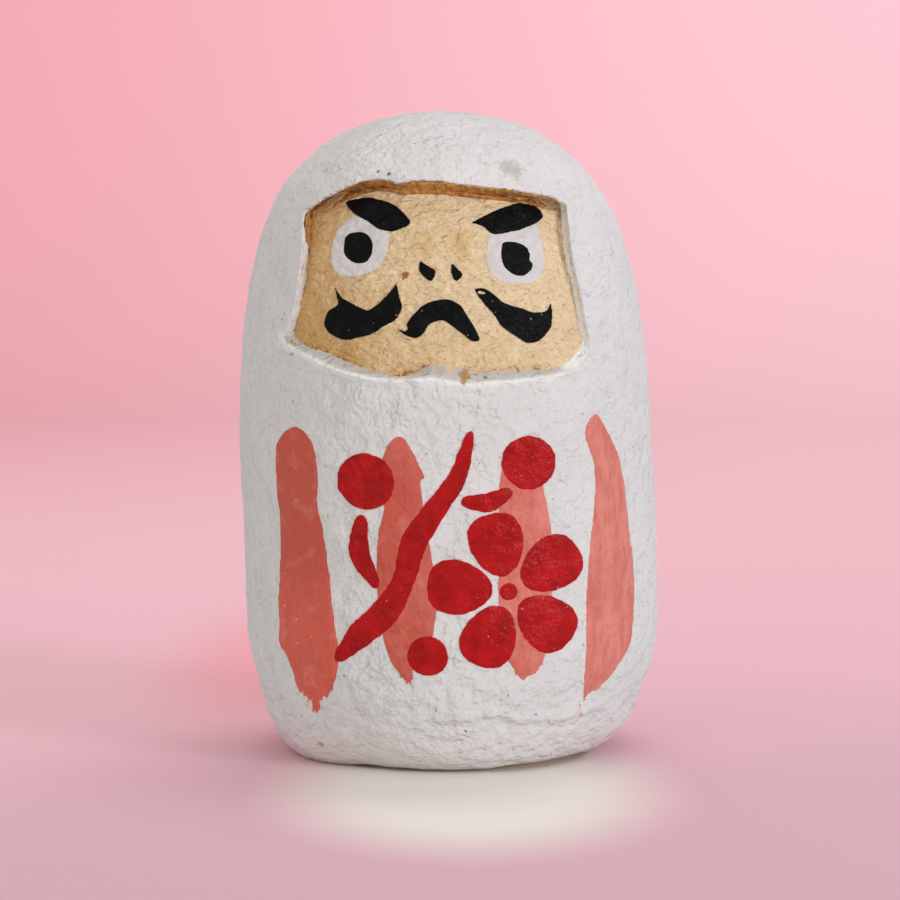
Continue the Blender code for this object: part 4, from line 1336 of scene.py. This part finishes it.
def make_backdrop():
    """A floor, and behind it a wall that rises from it in one soft bend. Neither casts its colour on the
    doll, and a small round of floor under the doll takes its contact shadow."""
    finish = backdrop_finish()
    floor = [(SHEET_FRONT, 0.0), (0.0, 0.0), (BEND_START, 0.0)]
    wall = [
        (BEND_START + BEND * math.sin(angle), BEND * (1.0 - math.cos(angle)))
        for angle in np.linspace(0.0, 0.5 * math.pi, 17)
    ]
    wall.append((BEND_START + BEND, WALL_TOP))
    for name, side_view in (("floor_paper", floor), ("wall_paper", wall)):
        sides = (-SHEET_HALF_WIDTH, SHEET_HALF_WIDTH)
        points = [(side, y, z) for y, z in side_view for side in sides]
        faces = [(row, row + 1, row + 3, row + 2) for row in range(0, len(points) - 2, 2)]
        sheet = stage_piece(name, points, faces, finish)
        sheet.visible_diffuse = False
        sheet.visible_glossy = False
    rim = NEAR_FLOOR_RADIUS * round_loop(0.0, 0.0, 1.0, 64)
    points = [(*place, NEAR_FLOOR_LIFT) for place in rim.tolist()]
    stage_piece("near_floor", points, [range(len(rim))], finish)


def set_stage():
    scene = bpy.context.scene
    stage = looks().stage
    scene.view_settings.view_transform = "Standard"
    make_backdrop()
    new_light("key", (1.42, -1.18, 0.46), (0.0, 0.0, 0.05), 0.56, stage.key, (1.0, 0.985, 1.03))
    new_light("fill", (-0.90, -1.50, 0.24), (0.0, 0.0, 0.04), 1.0, stage.fill, (1.0, 0.93, 0.74))
    new_light("wall_light", (0.1, 0.25, 0.9), (0.0, 0.95, 0.15), 0.6, stage.wall, (1.0, 0.98, 0.98))
    world = bpy.data.worlds.new("room")
    world.use_nodes = True
    background = world.node_tree.nodes["Background"]
    background.inputs["Color"].default_value = (1.0, 0.985, 0.97, 1.0)
    background.inputs["Strength"].default_value = stage.sky
    scene.world = world
    data = bpy.data.cameras.new("camera")
    data.lens = stage.lens
    data.sensor_width = SENSOR_WIDTH
    camera = bpy.data.objects.new("camera", data)
    aim = Vector((0.0, 0.0, AIM_HEIGHT * UP))
    pitch = stage.camera_pitch
    camera.location = aim + stage.camera_distance * Vector((0.0, -math.cos(pitch), math.sin(pitch)))
    camera.rotation_euler = (0.5 * math.pi - pitch, 0.0, 0.0)
    scene.collection.objects.link(camera)
    scene.camera = camera


# Operators


class DollOperator:
    bl_options = {"REGISTER", "UNDO"}

    def execute(self, context):
        self.make()
        return {"FINISHED"}


class DOLL_OT_shells(DollOperator, bpy.types.Operator):
    """Makes the front and back pulp shells with the sunken face"""

    bl_idname = "doll.shells"
    bl_label = "Pulp Shells"
    make = staticmethod(make_shells)


class DOLL_OT_strip(DollOperator, bpy.types.Operator):
    """Makes the paper strip over the joint of the shells"""

    bl_idname = "doll.strip"
    bl_label = "Seam Strip"
    make = staticmethod(make_strip)


class DOLL_OT_coat(DollOperator, bpy.types.Operator):
    """Makes the chalky ground coat with its opening round the face"""

    bl_idname = "doll.coat"
    bl_label = "Ground Coat"
    make = staticmethod(make_coat)


class DOLL_OT_face(DollOperator, bpy.types.Operator):
    """Paints the eyes, brows, nostrils, whiskers and mouth"""

    bl_idname = "doll.face"
    bl_label = "Face Paint"
    make = staticmethod(paint_face)


class DOLL_OT_stripes(DollOperator, bpy.types.Operator):
    """Paints the salmon stripes on the body"""

    bl_idname = "doll.stripes"
    bl_label = "Stripes"
    make = staticmethod(paint_stripes)


class DOLL_OT_spray(DollOperator, bpy.types.Operator):
    """Paints the red plum-blossom spray over the stripes"""

    bl_idname = "doll.spray"
    bl_label = "Plum Spray"
    make = staticmethod(paint_spray)


class DOLL_OT_base(DollOperator, bpy.types.Operator):
    """Gives the base paper, the board, the weight and its glue their finishes"""

    bl_idname = "doll.base"
    bl_label = "Base Finishes"
    make = staticmethod(finish_base)


class DOLL_OT_stage(DollOperator, bpy.types.Operator):
    """Sets the backdrop, the lights and the camera"""

    bl_idname = "doll.stage"
    bl_label = "Stage"
    make = staticmethod(set_stage)


OPERATORS = (
    DOLL_OT_shells, DOLL_OT_strip, DOLL_OT_coat, DOLL_OT_face, DOLL_OT_stripes, DOLL_OT_spray,
    DOLL_OT_base, DOLL_OT_stage,
)


class DOLL_PT_panel(bpy.types.Panel):
    """Lists the doll's pieces in the order they are made"""

    bl_idname = "DOLL_PT_panel"
    bl_label = "Daruma Doll"
    bl_space_type = "VIEW_3D"
    bl_region_type = "UI"
    bl_category = "Daruma"

    def draw(self, context):
        settings = context.scene.doll_looks
        for group in (settings.shape, settings.colours, settings.stage):
            box = self.layout.box()
            for label in group.bl_rna.properties.keys():
                if label not in ("rna_type", "name"):
                    box.prop(group, label)
        for operator in OPERATORS:
            self.layout.operator(operator.bl_idname)


CLASSES = (DollShape, DollColours, DollStage, DollLooks, *OPERATORS, DOLL_PT_panel)


def register():
    for cls in CLASSES:
        bpy.utils.register_class(cls)
    bpy.types.Scene.doll_looks = PointerProperty(type=DollLooks)


def unregister():
    del bpy.types.Scene.doll_looks
    for cls in reversed(CLASSES):
        bpy.utils.unregister_class(cls)


def main():
    register()
    for operator in OPERATORS:
        group, name = operator.bl_idname.split(".")
        getattr(getattr(bpy.ops, group), name)()


if __name__ == "__main__":
    main()
